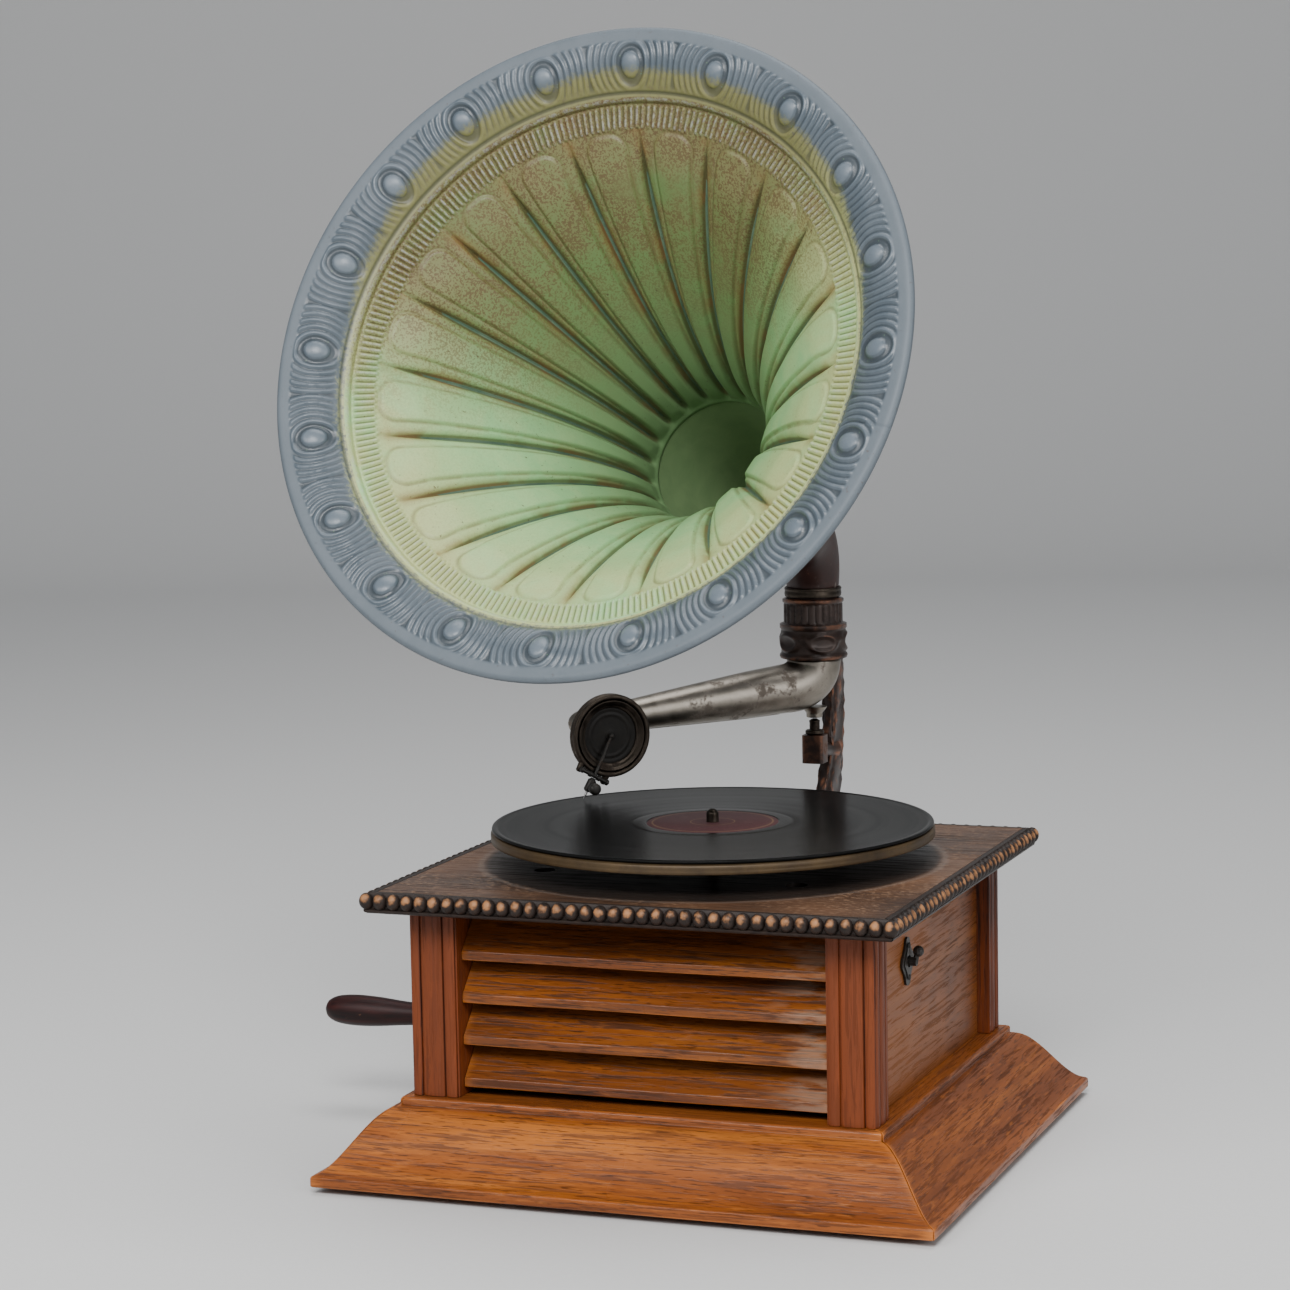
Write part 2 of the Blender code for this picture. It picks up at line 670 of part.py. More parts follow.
def build_tonearm(maker):
    path, radii = arm_path()
    arm = tube("arm", path, radii, resolution=4, open_low=True, wall=0.0010)
    spigot = rod("spigot", on_arm(ARM_BOX_REACH, BOX_Z + 0.004, 0.0055),
                 on_arm(ARM_BOX_REACH, BOX_Z + 0.004, 0.0138), 0.0050)
    lug = rod("lug", (0, SUPPORT_Y, 0.2192), (0, SUPPORT_Y, 0.2262), 0.0048, 12, 0.0070)
    arm = joined("arm", arm, spigot, lug)
    passage = rod("passage", on_arm(ARM_BOX_REACH, BOX_Z + 0.004, 0.0),
                  on_arm(ARM_BOX_REACH, BOX_Z + 0.004, 0.0200), 0.0036)
    maker.keep(cut(arm, passage), "tonearm", "nickel", "tonearm_pivot", smooth=True)


def build_sound_box(maker):
    neck_rise = 0.004
    profile = [(BOX_R, BOX_FACE), (BOX_R, 0.0150), (0.0230, 0.0128), (0.0085, 0.0115),
               (0.0050, 0.0115), (0.0050, 0.0148), (0.0215, 0.0152), (0.0215, BOX_FACE)]
    shell = turned("shell", profile, 24, box_frame())
    hub = rod("hub", on_arm(ARM_BOX_REACH, BOX_Z + neck_rise, 0.0092),
              on_arm(ARM_BOX_REACH, BOX_Z + neck_rise, 0.0140), 0.0078, 20)
    ears = []
    for across in (-0.0088, 0.0088):
        ears.append(rod("ear", on_stylus(0.0235, 0.0200, across), on_stylus(0.0275, 0.0200, across), 0.0018,
                        8))
    shell = joined("shell", shell, hub, *ears)
    bore = rod("bore", on_arm(ARM_BOX_REACH, BOX_Z + neck_rise, 0.0080),
               on_arm(ARM_BOX_REACH, BOX_Z + neck_rise, 0.0160), 0.0053, 20)
    maker.keep(cut(shell, bore), "sound_box_body", "nickel", "sound_box_pivot", smooth=True)
    profile = [(0.0211, 0.0218), (0.0211, 0.0196), (0.0166, 0.0196), (0.0172, 0.0212)]
    maker.keep(turned("ring", profile, 24, box_frame()), "sound_box_ring", "nickel", "sound_box_pivot",
               smooth=True)
    profile = [(0.0, 0.0192), (0.0206, 0.0192), (0.0206, 0.0187), (0.0, 0.0187)]
    maker.keep(turned("disc", profile, 24, box_frame(), closed=False), "diaphragm", "mica",
               "sound_box_pivot")


def build_stylus(maker):
    arm = tube("bar", [on_stylus(0.0, 0.0209), on_stylus(0.0080, 0.0222), on_stylus(0.0150, 0.0240),
                       on_stylus(0.0262, STYLUS_OFFSET), on_stylus(0.0300, STYLUS_OFFSET)],
               [0.0009, 0.0008, 0.0008, 0.0012, 0.0012], resolution=1)
    cross = box("cross", (-0.0102, -0.0012, -0.0010), (0.0102, 0.0012, 0.0010))
    line = Vector((math.cos(STYLUS_TILT), math.sin(STYLUS_TILT), 0.0))
    side = Vector((-line.y, line.x, 0.0))
    turn = box_frame().to_3x3() @ Matrix((side, line, Vector((0, 0, 1)))).transposed()
    cross.matrix_world = Matrix.Translation(on_stylus(0.0262, STYLUS_OFFSET)) @ turn.to_4x4()
    cross = baked(cross)
    clamp = rod("clamp", on_stylus(0.0285, STYLUS_OFFSET), on_stylus(0.0362, STYLUS_OFFSET), 0.0026, 12)
    bar = joined("bar", arm, cross, clamp)
    socket = rod("socket", on_stylus(0.0310, STYLUS_OFFSET), on_stylus(0.0400, STYLUS_OFFSET), 0.0010, 8)
    screw_hole = rod("screw_hole", on_stylus(0.0335, STYLUS_OFFSET + 0.0004),
                     on_stylus(0.0335, STYLUS_OFFSET + 0.006), 0.0013, 8)
    maker.keep(cut(bar, socket, screw_hole), "stylus_bar", "black_iron", "stylus_pivot")
    needle = tube("needle", [on_stylus(0.0320, STYLUS_OFFSET), on_stylus(0.0388, STYLUS_OFFSET),
                             on_stylus(NEEDLE_REACH, STYLUS_OFFSET)], [0.0007, 0.0007,
                                                                       0.00015], resolution=2)
    maker.keep(needle, "needle", "steel", "stylus_pivot")
    knob = turned("knob", [(0.0, 0.0115), (0.0025, 0.0112), (0.0035, 0.0098), (0.0035, 0.0078),
                           (0.0025, 0.0062),
                           (0.0010, 0.0056), (0.0010, 0.0012), (0.0, 0.0012)], 12,
                  Matrix.Translation(on_stylus(0.0335, STYLUS_OFFSET)) @ box_frame().to_3x3().to_4x4(), closed=False)
    maker.keep(knob, "thumb_screw", "black_iron", "thumb_screw_pivot", smooth=True)


# ---------------------------------------------------------------- horn
HORN_AXIS = Vector((-math.sin(HORN_YAW) * math.cos(HORN_TILT),
                    -math.cos(HORN_YAW) * math.cos(HORN_TILT), math.sin(HORN_TILT)))
HORN_KNEE = Vector((0.0, SUPPORT_Y, HORN_KNEE_Z))
MOUTH = HORN_KNEE + HORN_AXIS * HORN_REACH


def horn_frame():
    """A frame at the middle of the mouth with Z out of the horn and X level."""
    level = Vector((0, 0, 1)).cross(HORN_AXIS).normalized()
    upward = HORN_AXIS.cross(level)
    turn = Matrix((level, upward, HORN_AXIS)).transposed().to_4x4()
    return Matrix.Translation(MOUTH) @ turn


def bell_profile():
    """The inner surface: turned-over rim, wide border, channel and the flare down to the throat."""
    points = [(HORN_RIM_R, -0.0040), (HORN_MOUTH_R, 0.0), (0.1700, 0.0004), (0.1600, -0.0042),
              (0.1505, -0.0130)]
    outer = 0.1352
    start = -0.0234
    for i in range(8):
        share = i / 7
        radius = HORN_THROAT_R + (outer - HORN_THROAT_R) * (1 - share) ** 1.9
        points.append((radius, start + (-HORN_THROAT_BACK - start) * share))
    return points


def build_horn(maker):
    bell = turned("bell", bell_profile(), 40, horn_frame() @ Matrix.Rotation(math.radians(90), 4, "Z"),
                  closed=False, thickness=-HORN_SHEET)
    maker.keep(bell, "horn_bell", "horn_paint", "horn_pivot", smooth=True)

    bend = 0.0400
    turn = math.pi / 2 - HORN_TILT
    tangent = bend * math.tan(turn / 2)
    forward = Vector((HORN_AXIS.x, HORN_AXIS.y, 0)).normalized()
    centre = HORN_KNEE - Vector((0, 0, tangent)) + forward * bend
    path = [Vector((0, SUPPORT_Y, 0.2785)), Vector((0, SUPPORT_Y, 0.2935)),
            Vector((0, SUPPORT_Y, HORN_KNEE_Z - tangent))]
    radii = [NECK_R, NECK_R, 0.0158]
    for i in range(1, 6):
        angle = turn * i / 5
        path.append(centre - forward * bend * math.cos(angle) + Vector((0, 0, bend * math.sin(angle))))
        radii.append(0.0158 + 0.0057 * i / 5)
    throat = HORN_REACH - HORN_THROAT_BACK - 0.0012
    for share in (0.35, 0.70, 1.0):
        path.append(HORN_KNEE + HORN_AXIS * (tangent + (throat - tangent) * share))
        radii.append(0.0215 + (HORN_THROAT_R + 0.0008 - 0.0215) * share ** 1.2)
    elbow = tube("elbow", path, radii, resolution=5, open_low=True, open_high=True, wall=0.0010)
    maker.keep(elbow, "horn_elbow", "horn_brown", "horn_pivot", smooth=True)
    profile = [(0.0172, 0.3003), (0.0174, 0.2985), (0.0172, 0.2940), (0.0163, 0.2940), (0.0163, 0.3003)]
    ring = turned("ring", profile, 24, Matrix.Translation((0, SUPPORT_Y, 0)))
    maker.keep(ring, "horn_ring", "nickel", "horn_pivot", smooth=True)


# ---------------------------------------------------------------- turntable
def build_turntable(maker):
    top = RECORD_TOP_Z - RECORD_T - GAP
    under = top - PLATTER_T
    bore = SPINDLE_R + GAP
    profile = [(bore, top), (PLATTER_R - 0.001, top), (PLATTER_R, top - 0.001), (PLATTER_R, PLATTER_RIM_Z),
               (PLATTER_R - 0.0015, PLATTER_RIM_Z), (PLATTER_R - 0.0015, under), (0.0110, under), (0.0095,
                                                                                                   0.1700), (bore, 0.1700)]
    maker.keep(turned("platter", profile, 40), "turntable", "brass", "turntable_pivot", smooth=True)
    profile = [(bore, RECORD_TOP_Z), (RECORD_R - 0.0004, RECORD_TOP_Z), (RECORD_R, RECORD_TOP_Z - 0.001),
               (RECORD_R - 0.0004, RECORD_TOP_Z - RECORD_T), (bore, RECORD_TOP_Z - RECORD_T)]
    maker.keep(turned("disc", profile, 40), "record", "shellac", "turntable_pivot", smooth=True)
    shaft = rod("shaft", (0, 0, BRIDGE_Z + BRIDGE_T + GAP), (0, 0, SPINDLE_TOP_Z - 0.0025), SPINDLE_R, 12)
    tip = rod("tip", (0, 0, SPINDLE_TOP_Z - 0.0027), (0, 0, SPINDLE_TOP_Z), SPINDLE_R, 12, 0.0012)
    pinion = gear("pinion", (0, 0), 0.1255, 0.1335, PINION_TEETH, WHEEL_MODULE, SPINDLE_PHASE)
    worm_wheel = plate("worm_wheel", [saw_outline(WORM_WHEEL_TEETH, 0.0128, 0.0140, 0.5)], 0.008,
                       Matrix.Translation((0, 0, GOVERNOR_Z)))
    maker.keep(joined("spindle", shaft, tip, pinion, worm_wheel), "spindle", "steel", "turntable_pivot")


# ---------------------------------------------------------------- spring motor
BARREL_R = BARREL_TEETH * BARREL_MODULE / 2
BARREL_PINION_R = PINION_TEETH * BARREL_MODULE / 2
WHEEL_R = WHEEL_TEETH * WHEEL_MODULE / 2
SPINDLE_PINION_R = PINION_TEETH * WHEEL_MODULE / 2
BARREL = (-0.0505, CRANK_Y)
MIDDLE = meeting_point(BARREL, BARREL_R + BARREL_PINION_R, (0.0, 0.0), WHEEL_R + SPINDLE_PINION_R, 1)
TO_MIDDLE = math.atan2(MIDDLE[1] - BARREL[1], MIDDLE[0] - BARREL[0])
TO_SPINDLE = math.atan2(-MIDDLE[1], -MIDDLE[0])
SPINDLE_PHASE = TO_SPINDLE + math.pi + math.pi / PINION_TEETH


def build_motor_frame(maker):
    bottom = BRIDGE_Z + BRIDGE_T + GAP
    shape = [box("plate", (-0.0920, -0.0880, PLATE_Z), (0.0840, 0.0750, PLATE_Z + PLATE_T))]
    for x, y in ((-0.086, -0.083), (-0.086, -0.007), (0.004, -0.083), (-0.030, 0.028)):
        shape.append(box("leg", (x - 0.004, y - 0.004, bottom), (x + 0.004, y + 0.004, PLATE_Z + 0.001)))
    for y in (0.0130, -0.0590):
        shape.append(box("lug", (GOVERNOR_X - 0.005, y - 0.0025, GOVERNOR_Z - 0.006),
                         (GOVERNOR_X + 0.005, y + 0.0025, PLATE_Z + 0.001)))
    frame = joined("frame", *shape)
    holes = []
    for (x, y), radius in (((0, 0), SPINDLE_R + GAP), (MIDDLE, 0.0026), (BARREL, 0.0043),
                           (BOLT_PLACES[0], 0.0028), (BOLT_PLACES[1], 0.0028)):
        holes.append(rod("hole", (x, y, PLATE_Z - 0.01), (x, y, PLATE_Z + 0.01), radius, 12))
    holes.append(rod("hole", (GOVERNOR_X, -0.07, GOVERNOR_Z), (GOVERNOR_X, 0.03, GOVERNOR_Z), 0.0023, 12))
    maker.keep(cut(frame, *holes), "motor_frame", "black_iron")
    bridge = box("bridge", (-0.0910, -0.0880, BRIDGE_Z), (0.0100, 0.0340, BRIDGE_Z + BRIDGE_T))
    holes = [rod("hole", (x, y, BRIDGE_Z - 0.01), (x, y, BRIDGE_Z + 0.01), radius, 12)
             for (x, y), radius in ((MIDDLE, 0.0026), (BARREL, 0.0043))]
    maker.keep(cut(bridge, *holes), "motor_bridge", "black_iron")


def spiral_strip(low_radius, high_radius, turns, thickness, per_turn=12):
    inner = []
    outer = []
    for i in range(turns * per_turn + 1):
        angle = 2 * math.pi * i / per_turn
        radius = low_radius + (high_radius - low_radius) * i / (turns * per_turn)
        inner.append((radius * math.cos(angle), radius * math.sin(angle)))
        outer.append(((radius + thickness) * math.cos(angle), (radius + thickness) * math.sin(angle)))
    return inner + outer[::-1]


def build_spring_barrel(maker):
    x, y = BARREL
    floor = BARREL_FLOOR_Z
    top = BARREL_TOP_Z
    place = Matrix.Translation((x, y, 0))
    profile = [(0.0090, top), (0.0300, top), (0.0300, floor - 0.001), (0.0043, floor - 0.001),
               (0.0043, floor + 0.0015), (0.0288, floor + 0.0015), (0.0288, top - 0.0012), (0.0090,
                                                                                            top - 0.0012)]
    drum = turned("drum", profile, 24, place)
    teeth = gear("teeth", BARREL, floor - 0.0040, floor, BARREL_TEETH, BARREL_MODULE, TO_MIDDLE, 0.0060)
    maker.keep(joined("barrel", drum, teeth), "spring_barrel", "brass", "barrel_pivot")
    outline = spiral_strip(0.0085, 0.0262, 4, 0.0010)
    middle = (floor + top) / 2
    spring = plate("spring", [outline], 0.0220, Matrix.Translation((x, y, middle)))
    maker.keep(spring, "mainspring", "steel", "barrel_pivot")
    shaft = rod("shaft", (x, y, BRIDGE_Z - 0.0020), (x, y, PLATE_Z + PLATE_T - 0.0005), 0.0040, 12)
    crown = gear("crown", BARREL, CROWN_Z, CROWN_Z + 0.0040, 32, 0.0013)
    ratchet = plate("ratchet", [saw_outline(12, 0.0095, 0.0120)], 0.0026,
                    Matrix.Translation((x, y, CROWN_Z + 0.0048)))
    maker.keep(joined("arbor", shaft, crown, ratchet), "winding_arbor", "steel", "arbor_pivot")


def build_intermediate(maker):
    x, y = MIDDLE
    axle = rod("axle", (x, y, BRIDGE_Z + 0.0005), (x, y, PLATE_Z + PLATE_T - 0.0005), 0.0023, 12)
    phase = TO_MIDDLE + math.pi + math.pi / PINION_TEETH
    pinion = gear("pinion", MIDDLE, BARREL_FLOOR_Z - 0.0055, BARREL_FLOOR_Z + 0.0020, PINION_TEETH,
                  BARREL_MODULE, phase)
    wheel = gear("wheel", MIDDLE, 0.1280, 0.1310, WHEEL_TEETH, WHEEL_MODULE, TO_SPINDLE)
    maker.keep(joined("intermediate", axle, pinion, wheel), "intermediate_wheel", "brass",
               "intermediate_pivot")


def build_governor(maker):
    lying = Matrix.Translation((GOVERNOR_X, 0, GOVERNOR_Z)) @ Matrix.Rotation(math.radians(-90), 4, "X")
    rings = [(0.0, 0.0160), (0.0020, 0.0160), (0.0020, 0.0060)]
    for i in range(4):
        start = 0.0060 - 0.0030 * i
        rings += [(0.0037, start - 0.0006), (0.0037, start - 0.0016), (0.0026, start - 0.0024)]
    rings += [(0.0020, -0.0066), (0.0020, -0.0080), (0.0036, -0.0080), (0.0036, -0.0104), (0.0020, -0.0104),
              (0.0020, -0.0620), (0.0, -0.0620)]
    shaft = turned("shaft", rings, 8, lying, closed=False)
    maker.keep(shaft, "governor_shaft", "steel", "governor_pivot")
    profile = [(0.0023, -0.0335), (0.0042, -0.0335), (0.0042, -0.0355), (0.0110, -0.0355),
               (0.0110, -0.0375),
               (0.0042, -0.0375), (0.0042, -0.0392), (0.0023, -0.0392)]
    maker.keep(turned("disc", profile, 16, lying), "governor_disc", "brass", "governor_disc_pivot")
    for i, side in enumerate((1, -1)):
        strip_line = [(-0.0108, 0.0050), (-0.0160, 0.0080), (-0.0265, 0.0080), (-0.0318, 0.0050)]
        outline = ribbon(strip_line, [0.0003] * len(strip_line))
        upright = Matrix.Translation((GOVERNOR_X, 0, GOVERNOR_Z)) @ Matrix(((0, 0, 1, 0), (1, 0, 0, 0),
                                                                            (0, side, 0, 0), (0, 0, 0, 1)))
        strip = plate("strip", [outline], 0.0050, upright)
        weight = ball("weight", (GOVERNOR_X, -0.0212, GOVERNOR_Z + side * 0.0118), 0.0045, 8, 6)
        maker.keep(joined("weight", strip, weight), f"governor_weight_{i + 1}", "brass", "governor_pivot")


def build_speed_lever(maker):
    x = GOVERNOR_X
    shaft = rod("shaft", (x + 0.0045, LEVER_Y, LEVER_Z), (0.1318, LEVER_Y, LEVER_Z), 0.0025, 12)
    arm = box("arm", (x + 0.0045, LEVER_Y - 0.0020, 0.1040), (x + 0.0085, LEVER_Y + 0.0020, LEVER_Z))
    pad = box("pad", (x + 0.0045, LEVER_Y + 0.0010, 0.1045), (x + 0.0085, -0.0395, 0.1095))
    tail = rod("tail", (0.1306, LEVER_Y, LEVER_Z - 0.001), (0.1318, LEVER_Y + 0.0010, LEVER_Z + 0.0050),
               0.0016, 8)
    knob = ball("knob", (0.1324, LEVER_Y + 0.0010, LEVER_Z + 0.0056), 0.0031)
    maker.keep(joined("lever", shaft, arm, pad, tail, knob), "speed_lever", "black_iron", "lever_pivot")


# ---------------------------------------------------------------- crank
HANDLE_Y = CRANK_Y + CRANK_ARM * math.cos(CRANK_DIP)
HANDLE_Z = CRANK_Z + CRANK_ARM * math.sin(CRANK_DIP)


def build_crank(maker):
    shaft = rod("shaft", (CRANK_ARM_X, CRANK_Y, CRANK_Z), (-0.0640, CRANK_Y, CRANK_Z), 0.0045, 12)
    teeth = plate("teeth", [gear_outline(12, 0.0012)], 0.0120,
                  Matrix.Translation((-0.0700, CRANK_Y, CRANK_Z)) @ Matrix(((0, 0, 1, 0), (1, 0, 0, 0),
                                                                            (0, 1, 0, 0), (0, 0, 0, 1))))
    maker.keep(joined("shaft", shaft, teeth), "crank_shaft", "steel", "crank_pivot")
    sideways = Matrix(((0, 0, 1, 0), (1, 0, 0, 0), (0, 1, 0, 0), (0, 0, 0, 1)))
    ends = [(CRANK_Y, CRANK_Z), (HANDLE_Y, HANDLE_Z)]
    direction = Vector(ends[1]) - Vector(ends[0])
    outline = []
    for (y, z), radius, start in ((ends[1], 0.0055, -math.pi / 2), (ends[0], 0.0085, math.pi / 2)):
        heading = math.atan2(direction.y, direction.x)
        for i in range(9):
            angle = heading + start + math.pi * i / 8
            outline.append((y + radius * math.cos(angle), z + radius * math.sin(angle)))
    arm = plate("arm", [outline, circle(0.0048, 12, ends[0])], 0.0040,
                Matrix.Translation((CRANK_ARM_X + 0.0021, 0, 0)) @ sideways)
    pin = rod("pin", (CRANK_ARM_X + 0.002, HANDLE_Y, HANDLE_Z), (HANDLE_END_X + 0.0120, HANDLE_Y, HANDLE_Z),
              0.0028, 12)
    maker.keep(joined("arm", arm, pin), "crank_arm", "steel", "crank_pivot")
    length = -HANDLE_END_X + CRANK_ARM_X - 0.0006
    shares = ((0.0, 0.60), (0.04, 0.78), (0.10, 0.72), (0.25, 0.70), (0.42, 0.80), (0.62, 0.96),
              (0.78, 1.0),
              (0.90, 0.88), (0.97, 0.60), (1.0, 0.25))
    outer = [(HANDLE_R * width, length * share) for share, width in reversed(shares)]
    bore = 0.0031
    deep = length - 0.0105
    profile = [(0.0, length)] + outer + [(bore, 0.0), (bore, deep), (0.0, deep)]
    outward = Matrix.Translation((CRANK_ARM_X - 0.0003, HANDLE_Y,
                                  HANDLE_Z)) @ Matrix.Rotation(math.radians(-90), 4, "Y")
    handle = turned("handle", profile, 16, outward, closed=False)
    maker.keep(handle, "crank_handle", "handle_stain", "handle_pivot", smooth=True)


# ---------------------------------------------------------------- assembly
def place_pivots(maker):
    maker.pivot("turntable_pivot", (0, 0, RECORD_TOP_Z))
    maker.pivot("tonearm_pivot", (0, SUPPORT_Y, 0.2186))
    maker.pivot("sound_box_pivot", on_arm(ARM_BOX_REACH, BOX_Z + 0.004, 0.0115), "tonearm_pivot")
    maker.pivot("stylus_pivot", on_stylus(0.0262, STYLUS_OFFSET), "sound_box_pivot")
    maker.pivot("thumb_screw_pivot", on_stylus(0.0335, STYLUS_OFFSET), "stylus_pivot")
    maker.pivot("horn_pivot", (0, SUPPORT_Y, COLLAR_TOP_Z))
    maker.pivot("barrel_pivot", (*BARREL, BARREL_FLOOR_Z))
    maker.pivot("arbor_pivot", (*BARREL, CROWN_Z))
    maker.pivot("intermediate_pivot", (*MIDDLE, 0.1100))
    maker.pivot("governor_pivot", (GOVERNOR_X, 0, GOVERNOR_Z))
    maker.pivot("governor_disc_pivot", (GOVERNOR_X, -0.0365, GOVERNOR_Z), "governor_pivot")
    maker.pivot("lever_pivot", (0.1300, LEVER_Y, LEVER_Z))
    maker.pivot("crank_pivot", (CRANK_ARM_X, CRANK_Y, CRANK_Z))
    maker.pivot("handle_pivot", (CRANK_ARM_X, HANDLE_Y, HANDLE_Z), "crank_pivot")


def set_down(maker):
    """Centres the outer box over the origin: crank handle to plinth, horn rim to bracket."""
    front = MOUTH.y - HORN_RIM_R * math.sin(HORN_TILT) * math.cos(HORN_YAW)
    maker.root.location = (-(HANDLE_END_X + BASE_W) / 2, -(front + BRACKET_REAR) / 2, 0.0)
    bpy.context.view_layer.update()


def main():
    clear_scene()
    maker = Builder()
    place_pivots(maker)
    build_feet(maker)
    build_plinth(maker)
    build_posts(maker)
    build_panels(maker)
    build_louvre(maker)
    build_top(maker)
    build_scutcheons(maker)
    build_bracket(maker)
    build_tonearm(maker)
    build_sound_box(maker)
    build_stylus(maker)
    build_horn(maker)
    build_turntable(maker)
    build_motor_frame(maker)
    build_spring_barrel(maker)
    build_intermediate(maker)
    build_governor(maker)
    build_speed_lever(maker)
    build_crank(maker)
    set_down(maker)


main()
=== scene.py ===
"""The looks of a wind-up phonograph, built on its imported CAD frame.

Lengths are metres. Shapes are made about the turntable's axis, with X to the right, -Y to the front
and the floor at zero, and are then set down where the frame's record stands.
"""

import math
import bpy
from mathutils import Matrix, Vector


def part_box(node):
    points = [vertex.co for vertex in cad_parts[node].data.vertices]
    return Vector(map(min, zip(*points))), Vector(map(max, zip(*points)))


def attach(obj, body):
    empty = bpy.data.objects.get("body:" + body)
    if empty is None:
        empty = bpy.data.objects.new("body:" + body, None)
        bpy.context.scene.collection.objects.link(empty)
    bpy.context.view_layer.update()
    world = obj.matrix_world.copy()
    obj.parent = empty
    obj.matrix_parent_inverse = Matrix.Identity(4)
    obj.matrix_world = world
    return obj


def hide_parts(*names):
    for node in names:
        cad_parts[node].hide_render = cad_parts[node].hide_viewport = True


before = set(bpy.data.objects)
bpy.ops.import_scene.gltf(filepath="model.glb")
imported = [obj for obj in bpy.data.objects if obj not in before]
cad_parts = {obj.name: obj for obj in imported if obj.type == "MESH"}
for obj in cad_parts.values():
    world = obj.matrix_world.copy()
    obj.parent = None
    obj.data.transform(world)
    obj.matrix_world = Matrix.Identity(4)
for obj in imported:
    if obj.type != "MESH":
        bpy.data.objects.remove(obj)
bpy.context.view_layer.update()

from types import SimpleNamespace

import bmesh
import bpy
import numpy as np
from mathutils import Matrix, Vector

TURN = math.tau


def middle(node):
    low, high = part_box(node)
    return (Vector(low) + Vector(high)) / 2


# ---------------------------------------------------------------- places taken from the frame
RECORD_AT = middle("record")
ORIGIN = Vector((RECORD_AT.x, RECORD_AT.y, 0.0))
SUPPORT_Y = middle("horn_ring").y - ORIGIN.y
ABOUT_SUPPORT = Matrix.Translation((0, SUPPORT_Y, 0))
RECORD_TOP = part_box("record")[1][2]
RECORD_R = (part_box("record")[1][0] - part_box("record")[0][0]) / 2
BOARD_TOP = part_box("top_board")[1][2]
BOARD_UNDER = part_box("top_board")[0][2]
BOARD_W = (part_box("top_board")[1][0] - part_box("top_board")[0][0]) / 2
BOARD_D = (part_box("top_board")[1][1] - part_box("top_board")[0][1]) / 2
BASE_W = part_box("plinth_right")[1][0] - ORIGIN.x
BASE_D = ORIGIN.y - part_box("plinth_front")[0][1]
BASE_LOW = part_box("plinth_front")[0][2]
BASE_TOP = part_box("plinth_front")[1][2]
POST_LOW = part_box("post_front_left")[0][2]
POST_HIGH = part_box("post_front_left")[1][2]
BODY_W = ORIGIN.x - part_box("post_front_left")[0][0]
BODY_D = ORIGIN.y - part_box("post_front_left")[0][1]
LEVER_AT = middle("lever_escutcheon") - ORIGIN
CRANK_AT = middle("crank_escutcheon") - ORIGIN
HANDLE_AT = middle("crank_handle") - ORIGIN
HANDLE_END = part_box("crank_handle")[0][0] - ORIGIN.x
HANDLE_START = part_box("crank_handle")[1][0] - ORIGIN.x

# ---------------------------------------------------------------- shared driving dimensions
SPINDLE_R = 0.0035
RIM_Z = 0.1775
LABEL_R = 0.0375
BASE_STEP = 0.0048
BASE_LIP = 0.0102
BASE_OGEE = 0.0435
POST_W = 0.0280
POST_D = 0.0220
BEAD_R = 0.0040
HANDLE_R = 0.0092
HANDLE_BORE = 0.0031
BEAD_RAIL = 0.0020
BRACKET_SCREWS = {"bracket_screw_lower": 0.0760, "bracket_screw_upper": 0.1300}
ARM_ANGLE = math.radians(-135.0)
ARM_BEND = 0.0200
ARM_KNEE_Z = 0.2385
ARM_TIP_Z = 0.2266
ARM_BOX = 0.1460
ARM_END = 0.1640
ARM_SHARES = (0, 0.18, 0.45, 0.75, 0.93)
ARM_RADII = (0.0150, 0.0142, 0.0118, 0.0090, 0.0078)
ARM_DROP = 0.0155
BOX_Z = 0.2215
SPIGOT_Z = BOX_Z + 0.004
BOX_R = 0.0248
STYLUS_TILT = math.radians(-60.0)
STYLUS_OFFSET = 0.0247
STYLUS_PIVOT = 0.0262
EARS = (-0.0088, 0.0088)
NEEDLE_REACH = 0.0411
HORN_YAW = math.radians(4.2)
HORN_TILT = math.radians(22.6)
HORN_KNEE_Z = 0.3260
HORN_REACH = 0.3440
HORN_RIM_R = 0.1832
PETALS = 20
TICKS_PER_PETAL = 13
TICK_IN = 0.1352
TICK_DEPTH = 0.0234
THROAT_R = 0.0400
THROAT_DEPTH = 0.1977
EYE_R = 0.1630
SEAM_ANGLE = math.radians(104.0)
PETAL_PITCH = TURN / PETALS
TICK_RISE = 0.00085
PANEL_START = 0.0035
PANEL_RISE = 0.0010

WELD = 0.000005
PHOTO_SIZE = 1290
PHOTO_FOCAL = 3468.8
CAMERA_AT = Vector((0.6504, -1.8257, 0.5133))
CAMERA_YAW = 0.3610
CAMERA_DIP = 0.1164
CAMERA_ROLL = -0.0187


# ---------------------------------------------------------------- mesh helpers
def smooth_by_angle(mesh, degrees=40):
    mesh.shade_smooth()
    mesh.set_sharp_from_angle(angle=math.radians(degrees))


def new_object(name, mesh):
    made = bpy.data.objects.new(name, mesh)
    bpy.context.scene.collection.objects.link(made)
    return made



